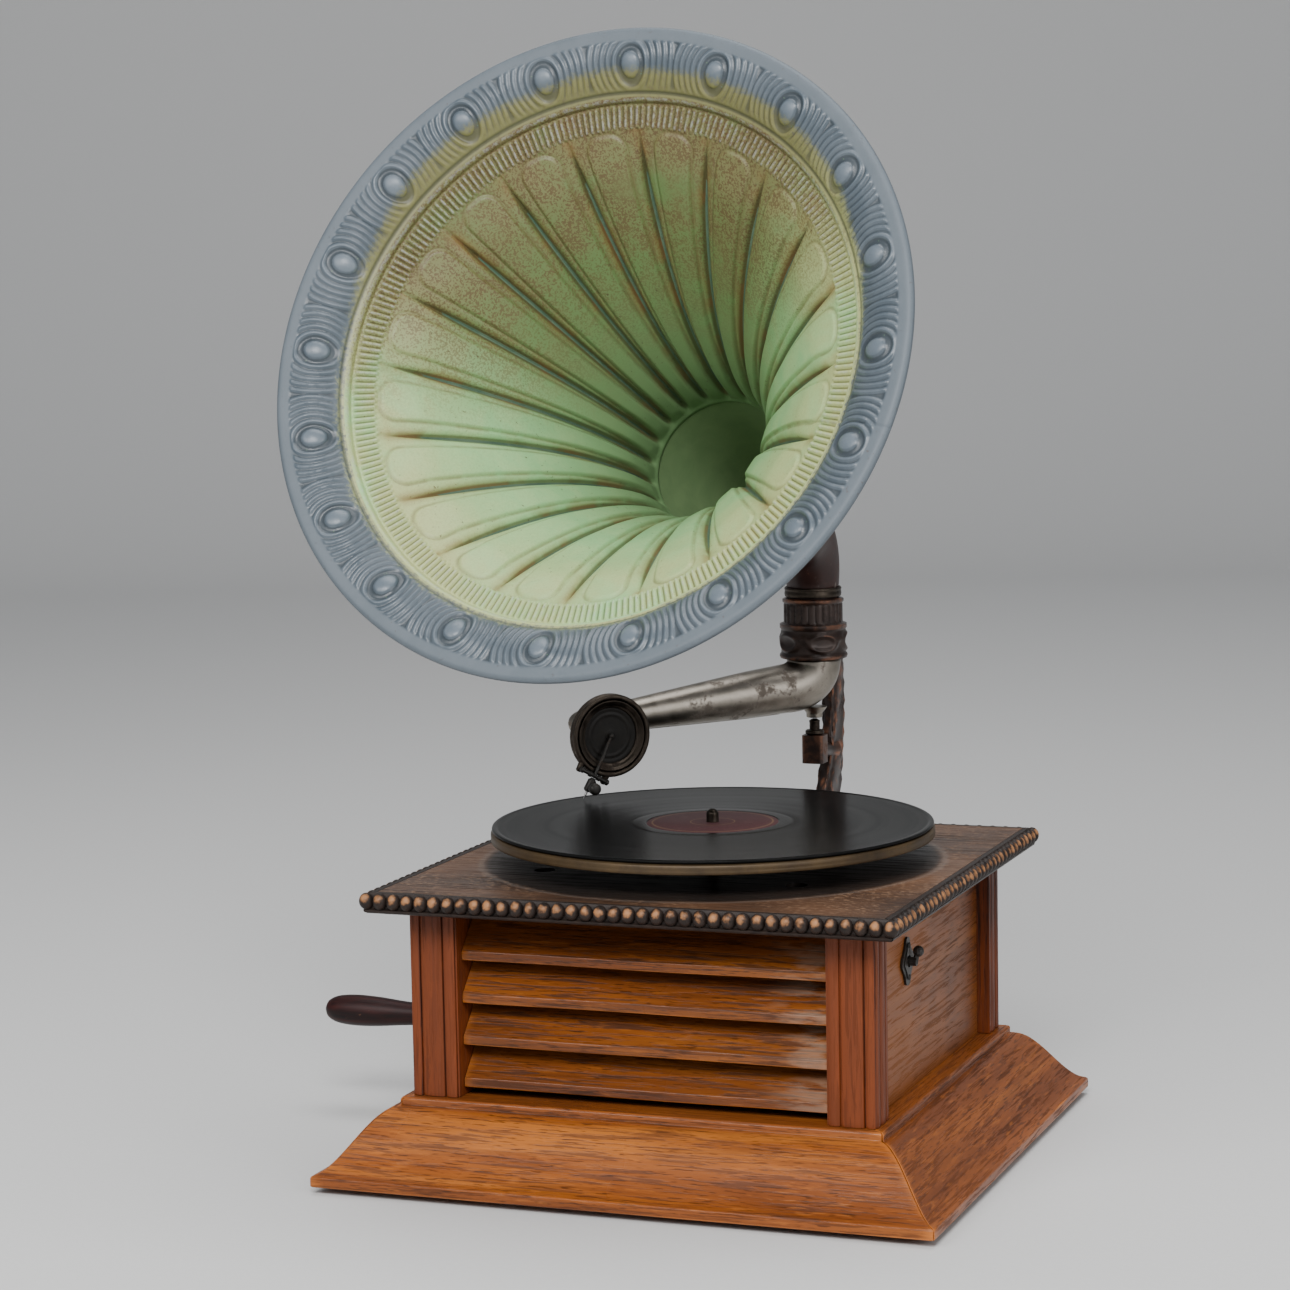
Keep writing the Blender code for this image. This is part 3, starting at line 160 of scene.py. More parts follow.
def grid(name, points, around=False, both=False):
    """Quads over an array of points of shape rows x columns x 3."""
    rows, columns = points.shape[:2]
    index = np.arange(rows * columns).reshape(rows, columns)
    right = np.roll(index, -1, axis=1)
    last = columns if around else columns - 1
    if both:
        below = np.roll(index, -1, axis=0)
        below_right = np.roll(right, -1, axis=0)
        quads = np.stack([index, right, below_right, below], axis=-1)[:, :last]
    else:
        quads = np.stack([index[:-1], right[:-1], right[1:], index[1:]], axis=-1)[:, :last]
    quads = quads.reshape(-1, 4)
    mesh = bpy.data.meshes.new(name)
    mesh.vertices.add(rows * columns)
    mesh.vertices.foreach_set("co", points.reshape(-1).astype(np.float32))
    mesh.loops.add(quads.size)
    mesh.loops.foreach_set("vertex_index", quads.reshape(-1).astype(np.int32))
    mesh.polygons.add(len(quads))
    mesh.polygons.foreach_set("loop_start", np.arange(0, quads.size, 4, dtype=np.int32))
    mesh.update(calc_edges=True)
    mesh.validate()
    return mesh


def tidy(mesh, matrix=None):
    """Welds what coincides and turns every face outward."""
    shape = bmesh.new()
    shape.from_mesh(mesh)
    if matrix is not None:
        shape.transform(matrix)
    bmesh.ops.remove_doubles(shape, verts=shape.verts, dist=WELD)
    bmesh.ops.recalc_face_normals(shape, faces=shape.faces)
    shape.to_mesh(mesh)
    shape.free()
    return mesh


def merge(name, meshes):
    shape = bmesh.new()
    for mesh in meshes:
        shape.from_mesh(mesh)
        bpy.data.meshes.remove(mesh)
    whole = bpy.data.meshes.new(name)
    shape.to_mesh(whole)
    shape.free()
    return whole


def around_axis(radius, angle, height):
    """Points about Z at a radius, one for each angle, all at one height."""
    return np.stack([radius * np.cos(angle), radius * np.sin(angle), height + 0 * angle], axis=1)


def lathe(profile, segments=48, matrix=None, closed=True):
    """Turns (radius, height) points about Z; a radius of nought closes the form on its axis."""
    line = list(profile) + ([profile[0]] if closed else [])
    angles = np.linspace(0, TURN, segments, endpoint=False)
    points = np.zeros((len(line), segments, 3))
    for row, (radius, height) in enumerate(line):
        points[row] = around_axis(radius, angles, height)
    return tidy(grid("lathe", points, around=True), matrix=matrix)


def rounded(points, radius=0.0004, steps=3, closed=True):
    """Softens every corner of an outline with a short curve."""
    count = len(points)
    result = []
    for i, point in enumerate(points):
        here = Vector(point)
        if not closed and i in (0, count - 1):
            result.append(tuple(here))
            continue
        before = Vector(points[i - 1]) - here
        after = Vector(points[(i + 1) % count]) - here
        reach = min(radius, before.length * 0.45, after.length * 0.45)
        if reach < 1e-7 or before.length < 1e-9 or after.length < 1e-9:
            result.append(tuple(here))
            continue
        start = here + before.normalized() * reach
        end = here + after.normalized() * reach
        for k in range(steps + 1):
            t = k / steps
            result.append(tuple(start * (1 - t) ** 2 + here * 2 * t * (1 - t) + end * t ** 2))
    return result


def extrude(outline, low, high, matrix=None, holes=()):
    """A flat outline in X and Y given height from low to high."""
    curve = bpy.data.curves.new("outline", "CURVE")
    curve.dimensions = "2D"
    curve.fill_mode = "BOTH"
    curve.extrude = (high - low) / 2
    for ring in (outline, *holes):
        spline = curve.splines.new("POLY")
        spline.points.add(len(ring) - 1)
        for point, (x, y) in zip(spline.points, ring):
            point.co = (x, y, 0, 1)
        spline.use_cyclic_u = True
    holder = new_object("outline", curve)
    bpy.context.view_layer.update()
    seen = holder.evaluated_get(bpy.context.evaluated_depsgraph_get())
    mesh = bpy.data.meshes.new_from_object(seen)
    bpy.data.objects.remove(holder, do_unlink=True)
    bpy.data.curves.remove(curve)
    lift = Matrix.Translation((0, 0, (low + high) / 2))
    return tidy(mesh, matrix=(matrix or Matrix()) @ lift)


def circle(radius, sides=32, centre=(0.0, 0.0)):
    return [(centre[0] + radius * math.cos(TURN * i / sides),
             centre[1] + radius * math.sin(TURN * i / sides)) for i in range(sides)]


def close_ends(mesh, rows, sides):
    """Fills a skin's first and last rings."""
    shape = bmesh.new()
    shape.from_mesh(mesh)
    shape.verts.ensure_lookup_table()
    for first in (0, (rows - 1) * sides):
        shape.faces.new([shape.verts[first + k] for k in range(sides)])
    shape.to_mesh(mesh)
    shape.free()


def tube(path, radii, sides=24, caps=True):
    """A round skin along a path, with rings kept square to it."""
    path = [Vector(p) for p in path]
    tangents = []
    for i in range(len(path)):
        a = path[max(i - 1, 0)]
        b = path[min(i + 1, len(path) - 1)]
        tangents.append((b - a).normalized())
    guide = tangents[0].orthogonal().normalized()
    points = np.zeros((len(path), sides, 3))
    for i, (place, tangent, radius) in enumerate(zip(path, tangents, radii)):
        guide = (guide - tangent * guide.dot(tangent)).normalized()
        other = tangent.cross(guide)
        for k in range(sides):
            angle = TURN * k / sides
            offset = guide * math.cos(angle) + other * math.sin(angle)
            points[i, k] = place + offset * radius
    mesh = grid("tube", points, around=True)
    if caps:
        close_ends(mesh, len(path), sides)
    return tidy(mesh)


def ball(centre, radius, around=24, rings=16, stretch=(1, 1, 1)):
    shape = bmesh.new()
    place = Matrix.Translation(centre) @ Matrix.Diagonal((*stretch, 1))
    bmesh.ops.create_uvsphere(shape, u_segments=around, v_segments=rings, radius=radius, matrix=place)
    mesh = bpy.data.meshes.new("ball")
    shape.to_mesh(mesh)
    shape.free()
    return mesh



def curve_through(points, steps):
    """Catmull-Rom samples through control points, as an array."""
    control = np.array(points, float)
    padded = np.vstack([2 * control[0] - control[1], control, 2 * control[-1] - control[-2]])
    result = []
    for i in range(len(control) - 1):
        a, b, c, d = padded[i:i + 4]
        for t in np.linspace(0, 1, steps, endpoint=False):
            result.append(0.5 * (2 * b + (c - a) * t + (2 * a - 5 * b + 4 * c - d) * t ** 2
                                 + (3 * b - a - 3 * c + d) * t ** 3))
    result.append(control[-1])
    return np.array(result)


def smoothstep(low, high, value):
    t = np.clip((value - low) / (high - low), 0, 1)
    return t * t * (3 - 2 * t)


def hump(value, centre, width):
    return np.exp(-((value - centre) / width) ** 2)


def floats(mesh, **layers):
    for name, values in layers.items():
        layer = mesh.attributes.new(name, "FLOAT", "POINT")
        layer.data.foreach_set("value", np.asarray(values, np.float32).reshape(-1))


def piece(name, mesh, body, nodes, material, bevel=0.0, sharp=40):
    """Sets a mesh down in the frame, dresses it, hangs it on its body and hides the CAD nodes it replaces.
    """
    mesh.name = name
    mesh.transform(Matrix.Translation(ORIGIN))
    mesh.materials.clear()
    mesh.materials.append(material)
    made = new_object(name, mesh)
    if bevel:
        soften(made, bevel)
    smooth_by_angle(mesh, sharp)
    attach(made, body)
    if nodes:
        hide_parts(*nodes)



def soften(thing, width):
    edge = thing.modifiers.new("edges", "BEVEL")
    edge.width = width
    edge.segments = 2
    edge.limit_method = "ANGLE"
    edge.angle_limit = math.radians(32)
    edge.harden_normals = False



def dress(node, material, bevel):
    """Keeps a CAD node's own shape, with eased edges and a full material."""
    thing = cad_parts[node]
    thing.data.materials.clear()
    thing.data.materials.append(material)
    smooth_by_angle(thing.data, 30)
    soften(thing, bevel)



# ---------------------------------------------------------------- material helpers
class Graph:
    """A material's node tree, with short words for the nodes that every surface uses."""

    def __init__(self, name):
        self.material = bpy.data.materials.new(name)
        self.material.use_nodes = True
        self.tree = self.material.node_tree
        self.tree.nodes.clear()
        self.shader = self.tree.nodes.new("ShaderNodeBsdfPrincipled")
        output = self.tree.nodes.new("ShaderNodeOutputMaterial")
        self.tree.links.new(self.shader.outputs[0], output.inputs["Surface"])

    def add(self, kind, sockets=None, **settings):
        node = self.tree.nodes.new("ShaderNode" + kind)
        for key, value in settings.items():
            setattr(node, key, value)
        for key, value in (sockets or {}).items():
            self.feed(node.inputs[key], value)
        return node

    def feed(self, socket, value):
        if isinstance(value, bpy.types.NodeSocket):
            self.tree.links.new(value, socket)
        elif isinstance(value, tuple) and len(value) == 3 and socket.type == "RGBA":
            socket.default_value = (*value, 1.0)
        else:
            socket.default_value = value

    def coords(self, scale=(1, 1, 1)):
        place = self.add("TexCoord").outputs["Object"]
        centred = self.add("VectorMath", {0: place, 1: tuple(-ORIGIN)}, operation="ADD")
        return self.add("Mapping", {"Vector": centred.outputs[0], "Scale": scale}).outputs[0]

    def noise(self, vector, scale, detail=3.0, roughness=0.5, distortion=0.0):
        return self.add("TexNoise", {"Vector": vector, "Scale": scale, "Detail": detail,
                                     "Roughness": roughness, "Distortion": distortion}).outputs[0]

    def value(self, name):
        return self.add("Attribute", attribute_name=name).outputs["Fac"]

    def ramp(self, factor, *stops):
        node = self.add("ValToRGB", {"Fac": factor})
        elements = node.color_ramp.elements
        while len(elements) < len(stops):
            elements.new(0.5)
        for element, (place, colour) in zip(elements, stops):
            element.position = place
            element.color = (*colour, 1.0)
        return node.outputs["Color"]

    def mix(self, factor, first, second):
        node = self.add("Mix", data_type="RGBA")
        self.feed(node.inputs[0], factor)
        self.feed(node.inputs[6], first)
        self.feed(node.inputs[7], second)
        return node.outputs[2]

    def tint(self, colour, shade, mask, strength=1.0):
        """The colour with a shade laid over it where the mask is strong."""
        return self.mix(self.times(mask, strength), colour, shade)

    def math(self, operation, *values, clamp=False):
        node = self.add("Math", operation=operation, use_clamp=clamp)
        for socket, value in zip(node.inputs, values):
            self.feed(socket, value)
        return node.outputs[0]

    def times(self, first, second):
        return self.math("MULTIPLY", first, second)

    def plus(self, first, second, clamp=False):
        return self.math("ADD", first, second, clamp=clamp)

    def scaled(self, value, slope, start):
        return self.math("MULTIPLY_ADD", value, slope, start)

    def step(self, value, low, high):
        return self.add("MapRange", {"Value": value, "From Min": low, "From Max": high},
                        interpolation_type="SMOOTHSTEP").outputs[0]

    def separate(self, vector):
        return self.add("SeparateXYZ", {0: vector}).outputs

    def radius(self):
        """Distance from the turntable's axis."""
        flat = self.add("VectorMath", {0: self.coords(), 1: (1, 1, 0)}, operation="MULTIPLY").outputs[0]
        return self.add("VectorMath", {0: flat}, operation="LENGTH").outputs["Value"]

    def bump(self, height, distance, strength=1.0):
        return self.add("Bump", {"Height": height, "Distance": distance, "Strength": strength}).outputs[0]

    def finish(self, colour, roughness, normal=None, metallic=0.0, **constants):
        self.feed(self.shader.inputs["Base Color"], colour)
        self.feed(self.shader.inputs["Roughness"], roughness)
        self.feed(self.shader.inputs["Metallic"], metallic)
        if normal is not None:
            self.feed(self.shader.inputs["Normal"], normal)
        for name, value in constants.items():
            self.shader.inputs[name.replace("_", " ")].default_value = value
        return self.material


def wood(name, axis, light, mid, dark, gloss=0.34, streaks=1.0, wear_and_painted_light=None):
    """Oak: broad tone, long dark grain, short open pores and a worn varnish."""
    g = Graph(name)

    def stretched(along, across):
        scale = [across, across, across]
        scale["XYZ".index(axis)] = along
        return g.coords(tuple(scale))

    tone = g.noise(stretched(3.0, 45), 1.0, 4, 0.55, 0.5)
    colour = g.ramp(tone, (0.34, dark), (0.50, mid), (0.66, light))
    bands = g.noise(stretched(9, 190), 1.0, 4, 0.60, 0.6)
    colour = g.mix(g.times(g.step(bands, 0.52, 0.36), 0.40 * streaks), colour,
                   tuple(c * 0.60 for c in dark))
    fine = g.noise(stretched(24, 540), 1.0, 4, 0.62, 0.5)
    pores = g.step(fine, 0.50, 0.40)
    colour = g.mix(g.times(pores, 0.62 * streaks), colour, tuple(c * 0.30 for c in dark))
    dashes = g.noise(stretched(90, 1100), 1.0, 2, 0.5)
    colour = g.mix(g.times(g.step(dashes, 0.42, 0.34), 0.70), colour,
                   tuple(c * 0.22 for c in dark))
    flecks = g.noise(stretched(60, 480), 1.0, 3, 0.5)
    colour = g.mix(g.times(g.step(flecks, 0.58, 0.70), 0.25), colour,
                   tuple(min(1.0, c * 1.5) for c in light))
    mottle = g.noise(g.coords((7, 7, 7)), 1.0, 3, 0.6)
    colour = g.mix(g.times(g.step(mottle, 0.45, 0.72), 0.40), colour,
                   tuple(c * 0.55 for c in mid))
    edge = g.add("NewGeometry").outputs["Pointiness"]
    rub_and_highlight = g.times(g.step(edge, 0.515, 0.56), g.step(mottle, 0.35, 0.6))
    colour = g.mix(g.times(rub_and_highlight, 0.45), colour, tuple(min(1.0, c * 1.9) for c in light))
    dirt = g.step(edge, 0.49, 0.44)
    colour = g.tint(colour, (0.012, 0.007, 0.004), dirt, 0.65)
    # extra layer: wear, and painted light such as the slats' sheen and the top board's shadow
    if wear_and_painted_light:
        colour = wear_and_painted_light(g, colour)
    rough = g.scaled(mottle, 0.22, gloss - 0.10)
    rough = g.plus(rough, g.times(pores, 0.25))
    height = g.math("SUBTRACT", g.times(fine, 0.4), g.times(pores, 0.7))
    normal = g.bump(height, 0.00018, 0.5)
    return g.finish(colour, rough, normal, Coat_Weight=0.06, Coat_Roughness=0.25,
                    Specular_IOR_Level=0.28)


def metal(name, bright, dull, tarnish, rough=0.30, amount=0.5, metallic=1.0, scale=60, rub_and_highlight=None):
    """Plated or bare metal with tarnish in patches, fine scratches and darkened hollows."""
    g = Graph(name)
    place = g.coords()
    cloud = g.noise(place, scale, 5, 0.62, 0.4)
    fine = g.noise(place, scale * 9, 3, 0.6)
    colour = g.ramp(cloud, (0.30, dull), (0.62, bright))
    patches = g.step(g.plus(cloud, g.times(fine, 0.25)), 0.62 + 0.1 * (1 - amount), 0.78)
    colour = g.mix(g.times(patches, amount), colour, tarnish)
    specks = g.step(fine, 0.66, 0.74)
    colour = g.mix(g.times(specks, amount * 0.7), colour, tuple(c * 0.4 for c in tarnish))
    edge = g.add("NewGeometry").outputs["Pointiness"]
    colour = g.mix(g.times(g.step(edge, 0.49, 0.43), 0.7), colour,
                   tuple(c * 0.35 for c in tarnish))
    if rub_and_highlight:
        raised = g.math("MAXIMUM", g.step(edge, 0.515, 0.60), g.value("crown"))
        raised = g.times(raised, g.step(cloud, 0.42, 0.60))
        colour = g.mix(g.times(raised, 0.8), colour, rub_and_highlight)
    roughness = g.scaled(cloud, 0.30, rough - 0.12)
    roughness = g.plus(roughness, g.times(patches, 0.25), clamp=True)
    normal = g.bump(g.plus(cloud, g.times(fine, 0.5)), 0.00008, 0.5)
    hold = g.scaled(patches, -0.55 * metallic * amount, metallic)
    return g.finish(colour, roughness, normal, hold)


# ---------------------------------------------------------------- materials
OAK_LIGHT = (0.345, 0.108, 0.019)
OAK_MID = (0.235, 0.064, 0.011)
OAK_DARK = (0.140, 0.037, 0.008)


def painted_sheen_right_end(g, colour):
    """Painted sheen: whitish near the slats' right ends."""
    x = g.separate(g.coords())[0]
    # painted sheen, strongest towards the slats' right ends
    near = g.step(x, 0.060, 0.100)
    cloud = g.noise(g.coords((30, 30, 160)), 1.0, 4, 0.6)
    return g.mix(g.times(g.times(near, g.step(cloud, 0.45, 0.62)), 0.24), colour,
                 (0.42, 0.32, 0.24))


def board_wear_and_platter_shadow(g, colour):
    """Rubbed flecks and a dusty ring on the board, and a painted shadow: near-black on the board under the
    turntable.
    """
    cloud = g.noise(g.coords((20, 20, 20)), 1.0, 4, 0.6)
    rubbed = g.step(g.noise(g.coords((260, 420, 60)), 1.0, 4, 0.65), 0.53, 0.61)
    rubbed = g.times(rubbed, g.step(cloud, 0.36, 0.60))
    colour = g.tint(colour, (0.230, 0.135, 0.078), rubbed, 0.70)
    away = g.plus(g.radius(), g.times(cloud, 0.004))
    dusty = g.times(g.step(away, 0.1300, 0.1325), g.step(away, 0.1365, 0.1335))
    colour = g.tint(colour, (0.20, 0.18, 0.16), dusty, 0.20)
    # painted shadow: near-black on the board beneath the turntable's overhang
    return g.mix(g.times(g.step(away, 0.1340, 0.1280), 0.88), colour, (0.010, 0.008, 0.007))


def toned(tones, red, green=None, blue=None):
    """The same three tones with each colour channel scaled."""
    scale = (red, red if green is None else green, red if blue is None else blue)
    return [tuple(c * k for c, k in zip(tone, scale)) for tone in tones]


def build_materials():
    oak = (OAK_LIGHT, OAK_MID, OAK_DARK)
    plinth = toned(oak, 1.05)
    dim = toned(oak, 0.66)
    return {
        "oak_x": wood("oak_along_x", "X", *plinth, gloss=0.27),
        "oak_y": wood("oak_along_y", "Y", *plinth),
        "oak_z": wood("oak_upright", "Z", *toned(dim, 0.55, 0.36, 0.28), gloss=0.50, streaks=1.9),
        # slats: a painted sheen whitens their right ends
        "oak_slat": wood("oak_slat", "X", *dim, gloss=0.25, wear_and_painted_light=painted_sheen_right_end, streaks=1.2),
        "oak_panel": wood("oak_panel", "Y", *toned(dim, 0.80), gloss=0.44),
        # top board: rubbed flecks, a dusty ring and a painted shadow under the turntable
        "oak_top": wood("dark_oak_board", "X", (0.100, 0.048, 0.024), (0.055, 0.027, 0.015),
                        (0.026, 0.014, 0.009), gloss=0.40, wear_and_painted_light=board_wear_and_platter_shadow),
        "nickel": metal("worn_nickel", (0.31, 0.280, 0.24), (0.19, 0.170, 0.14), (0.070, 0.042, 0.026),
                        rough=0.34, amount=0.55),
        "dark_nickel": metal("darkened_nickel", (0.078, 0.063, 0.050), (0.030, 0.024, 0.019),
                             (0.034, 0.020, 0.012), rough=0.40, amount=0.8, scale=90),
        "brass": metal("aged_brass", (0.46, 0.31, 0.12), (0.28, 0.17, 0.06), (0.09, 0.045, 0.02),
                       rough=0.34, amount=0.6),
        "steel": metal("bare_steel", (0.52, 0.51, 0.50), (0.32, 0.31, 0.30), (0.10, 0.06, 0.04),
                       rough=0.30, amount=0.4, scale=120),
        "black": metal("blackened_iron", (0.050, 0.046, 0.042), (0.022, 0.020, 0.018),
                       (0.06, 0.030, 0.016), rough=0.42, amount=0.5, metallic=0.6, scale=110),
        "bronzed": metal("bronzed_casting", (0.042, 0.024, 0.018), (0.022, 0.013, 0.010),
                         (0.012, 0.008, 0.007), rough=0.34, amount=0.5, metallic=0.35, scale=75,
                         rub_and_highlight=(0.34, 0.130, 0.060)),
        "spring": metal("blued_steel", (0.10, 0.11, 0.14), (0.06, 0.06, 0.08), (0.05, 0.03, 0.02),
                        rough=0.30, amount=0.3),
        "beads": bead_finish(), "shellac": shellac(), "label": paper_label(), "rubber": rubber(),
        "horn": horn_finish(), "elbow": elbow_finish(), "handle": stained_handle(),
        "diaphragm": mica(), "platter": platter_finish()}



def bead_finish():
    """Blackened turned beads, with a painted copper-brown highlight where each bead faces outward and up.
    """
    g = Graph("blackened_beading")
    crown = g.value("crown")
    cloud = g.noise(g.coords(), 210, 4, 0.6)
    # painted highlight: copper brown where the bead faces outward and up, broken by noise
    rub_and_highlight = g.step(g.plus(crown, g.times(g.math("SUBTRACT", cloud, 0.5), 0.9)), 0.70, 1.06)
    colour = g.ramp(cloud, (0.3, (0.012, 0.009, 0.008)), (0.7, (0.030, 0.020, 0.016)))
    colour = g.tint(colour, (0.36, 0.165, 0.070), rub_and_highlight, 0.85)
    rough = g.scaled(cloud, 0.25, 0.32)
    return g.finish(colour, rough, g.bump(cloud, 0.0001, 0.5), Specular_IOR_Level=0.18)


def shellac():
    g = Graph("black_shellac")
    away = g.radius()
    ring = g.add("CombineXYZ", {0: away}).outputs[0]
    track = g.noise(ring, 900, 2, 0.7)
    wide = g.noise(ring, 120, 2, 0.5)
    grooved = g.times(g.step(away, 0.0445, 0.0465), g.step(away, 0.1225, 0.1205))
    cloud = g.noise(g.coords((1, 1, 0)), 30, 5, 0.7)
    dust = g.step(g.noise(g.coords(), 900, 2, 0.6), 0.70, 0.80)
    colour = g.ramp(track, (0.3, (0.004, 0.004, 0.004)), (0.7, (0.009, 0.009, 0.009)))
    colour = g.tint(colour, (0.024, 0.023, 0.022), g.step(cloud, 0.45, 0.7), 0.14)
    colour = g.tint(colour, (0.12, 0.12, 0.12), dust, 0.15)
    rough = g.scaled(wide, 0.12, 0.10)
    rough = g.plus(rough, g.times(grooved, 0.06))
    wave = g.math("SINE", g.times(away, 14000.0))
    height = g.times(g.plus(g.times(wave, 0.5), track), grooved)
    tangent = g.add("Tangent", direction_type="RADIAL", axis="Z").outputs[0]
    g.feed(g.shader.inputs["Tangent"], tangent)
    return g.finish(colour, rough, g.bump(height, 0.00002, 0.12), Anisotropic=0.70,
                    Specular_IOR_Level=0.035)


def paper_label():
    g = Graph("maroon_label")
    away = g.radius()
    grain = g.noise(g.coords(), 500, 4, 0.6)
    colour = g.ramp(grain, (0.3, (0.062, 0.017, 0.019)), (0.7, (0.098, 0.030, 0.032)))
    band = g.times(g.step(away, 0.0335, 0.0338), g.step(away, 0.0348, 0.0345))
    inner = g.times(g.step(away, 0.0120, 0.0123), g.step(away, 0.0130, 0.0127))
    lines = g.math("MAXIMUM", band, inner)
    colour = g.tint(colour, (0.30, 0.19, 0.09), lines, 0.55)
    scuff = g.step(g.noise(g.coords(), 70, 5, 0.7), 0.56, 0.70)
    colour = g.tint(colour, (0.18, 0.10, 0.09), scuff, 0.35)
    return g.finish(colour, 0.62, g.bump(grain, 0.00004, 0.6))



def rubber():
    g = Graph("foot_rubber")
    grain = g.noise(g.coords(), 600, 4, 0.6)
    colour = g.ramp(grain, (0.3, (0.012, 0.012, 0.012)), (0.7, (0.030, 0.029, 0.028)))
    return g.finish(colour, 0.85, g.bump(grain, 0.0001, 0.6))


def platter_finish():
    """The turntable's brass-brown rim and its dull underside."""
    g = Graph("turntable_rim")
    cloud = g.noise(g.coords(), 40, 5, 0.65)
    fine = g.noise(g.coords(), 500, 3, 0.6)
    colour = g.ramp(cloud, (0.3, (0.036, 0.023, 0.011)), (0.7, (0.090, 0.056, 0.023)))
    colour = g.tint(colour, (0.045, 0.024, 0.014), g.step(fine, 0.55, 0.7), 0.5)
    return g.finish(colour, g.scaled(cloud, 0.3, 0.32), g.bump(fine, 0.00005, 0.5), 0.45)


def stained_handle():
    g = Graph("maroon_handle")
    long_grain = g.noise(g.coords((22, 260, 260)), 1.0, 4, 0.6)
    colour = g.ramp(long_grain, (0.35, (0.007, 0.003, 0.003)), (0.66, (0.030, 0.007, 0.006)))
    chips = g.step(g.noise(g.coords(), 240, 4, 0.7), 0.68, 0.74)
    colour = g.tint(colour, (0.16, 0.075, 0.04), chips, 0.5)
    rough = g.scaled(long_grain, 0.2, 0.34)
    return g.finish(colour, rough, g.bump(long_grain, 0.00008, 0.4), Specular_IOR_Level=0.22)


def mica():
    g = Graph("dull_mica")
    sheet = g.noise(g.coords(), 160, 5, 0.6, 0.8)
    colour = g.ramp(sheet, (0.3, (0.006, 0.005, 0.004)), (0.7, (0.017, 0.014, 0.011)))
    rough = g.scaled(sheet, 0.25, 0.36)
    return g.finish(colour, rough, g.bump(sheet, 0.00006, 0.4), Specular_IOR_Level=0.22)


def petal_paint(g, at):
    """Green petals, pale at the sides and bottom, olive at the top, deep towards the throat. The olive top
    is partly the paint's own tone and partly painted shade.
    """
    # darker olive towards the top: partly the paint's own tone, partly painted shade
    pale = g.mix(g.step(at.cloud, 0.35, 0.65), (0.220, 0.440, 0.190), (0.290, 0.480, 0.210))
    olive = g.mix(g.step(at.cloud, 0.35, 0.65), (0.098, 0.158, 0.052), (0.118, 0.136, 0.050))
    colour = g.mix(at.upper, pale, olive)
    colour = g.mix(g.step(at.depth, 0.20, 0.95), colour, (0.160, 0.270, 0.120))
    # tan overspray near the tick band, darker at the top as painted shade
    tan = g.mix(at.upper, (0.37, 0.36, 0.150), (0.150, 0.122, 0.050))
    near_ticks = g.times(g.step(at.depth, 0.34, -0.04), g.step(at.large, 0.25, 0.55))
    colour = g.tint(colour, tan, near_ticks, 0.80)
    # speckled wear, strongest at the top, chips and blue-grey dust on raised ends
    worn = g.times(g.step(at.large, 0.24, 0.48), g.scaled(at.upper, 0.85, 0.12))
    worn = g.times(worn, g.step(at.depth, 0.75, 0.10))
    sand = g.plus(g.noise(at.place, 800, 3, 0.65), g.times(at.cloud, 0.30))
    colour = g.tint(colour, (0.085, 0.052, 0.020), g.times(worn, g.step(sand, 0.63, 0.70)), 0.88)
    colour = g.tint(colour, (0.060, 0.030, 0.018), at.chips, 0.80)
    dusty = g.times(g.step(at.height, 0.45, 0.95), g.step(at.depth, 0.10, 0.02))
    dusty = g.times(dusty, g.step(at.fine, 0.42, 0.60))
    colour = g.tint(colour, (0.33, 0.36, 0.37), dusty, 0.30)
    # rust and dirt held in the creases and round the panels
    stream = g.noise(at.place, 38, 3, 0.6)
    rust = g.times(g.value("crease"), g.step(stream, 0.40, 0.60))
    rust = g.times(rust, g.step(at.depth, 0.98, 0.55))
    colour = g.tint(colour, (0.175, 0.100, 0.030), rust, 0.62)
    lined = g.times(g.value("lined"), g.step(at.cloud, 0.30, 0.60))
    colour = g.tint(colour, (0.110, 0.095, 0.035), lined, 0.55)
    grime = g.mix(g.step(stream, 0.5, 0.62), (0.050, 0.048, 0.018), (0.095, 0.045, 0.018))
    return g.tint(colour, grime, g.step(at.height, -0.40, -1.00), 0.70)


def border_paint(g, at):
    """Blue-grey, its inner edge broken up by green and tan overspray. Painted shade darkens the overspray
    at the top and the hollows between ridges, and a painted highlight lightens the ridge tips.
    """
    blue = g.mix(g.step(at.cloud, 0.3, 0.7), (0.062, 0.080, 0.096), (0.090, 0.110, 0.128))
    # the green overspray is darker towards the top: painted shade
    green = g.mix(at.upper, (0.32, 0.34, 0.15), (0.150, 0.145, 0.055))
    green = g.tint(green, (0.125, 0.105, 0.050), g.step(at.fine, 0.50, 0.66), 0.6)
    edge = g.plus(at.rim, g.times(g.math("SUBTRACT", at.fine, 0.5), 0.75))
    edge = g.plus(edge, g.times(g.math("SUBTRACT", at.large, 0.5), 0.5))
    border = g.mix(g.step(edge, 0.30, 0.72), green, blue)
    # painted shade: a darker blue-grey in the hollows between the ridges
    border = g.tint(border, (0.014, 0.018, 0.020), g.step(at.height, 0.10, -0.35), 0.55)
    # painted highlight: lighter blue-grey on the raised ridge tips near the rim
    ridge_highlight = g.times(g.step(at.height, 0.55, 1.0), g.step(at.rim, 0.5, 0.8))
    border = g.tint(border, (0.20, 0.24, 0.28), ridge_highlight, 0.20)
    border = g.tint(border, (0.105, 0.125, 0.142), at.lip, 0.55)
    rubbed = g.times(g.step(at.lip, 0.3, 0.9), g.step(at.fine, 0.62, 0.72))
    return g.tint(border, (0.075, 0.055, 0.045), rubbed, 0.65)


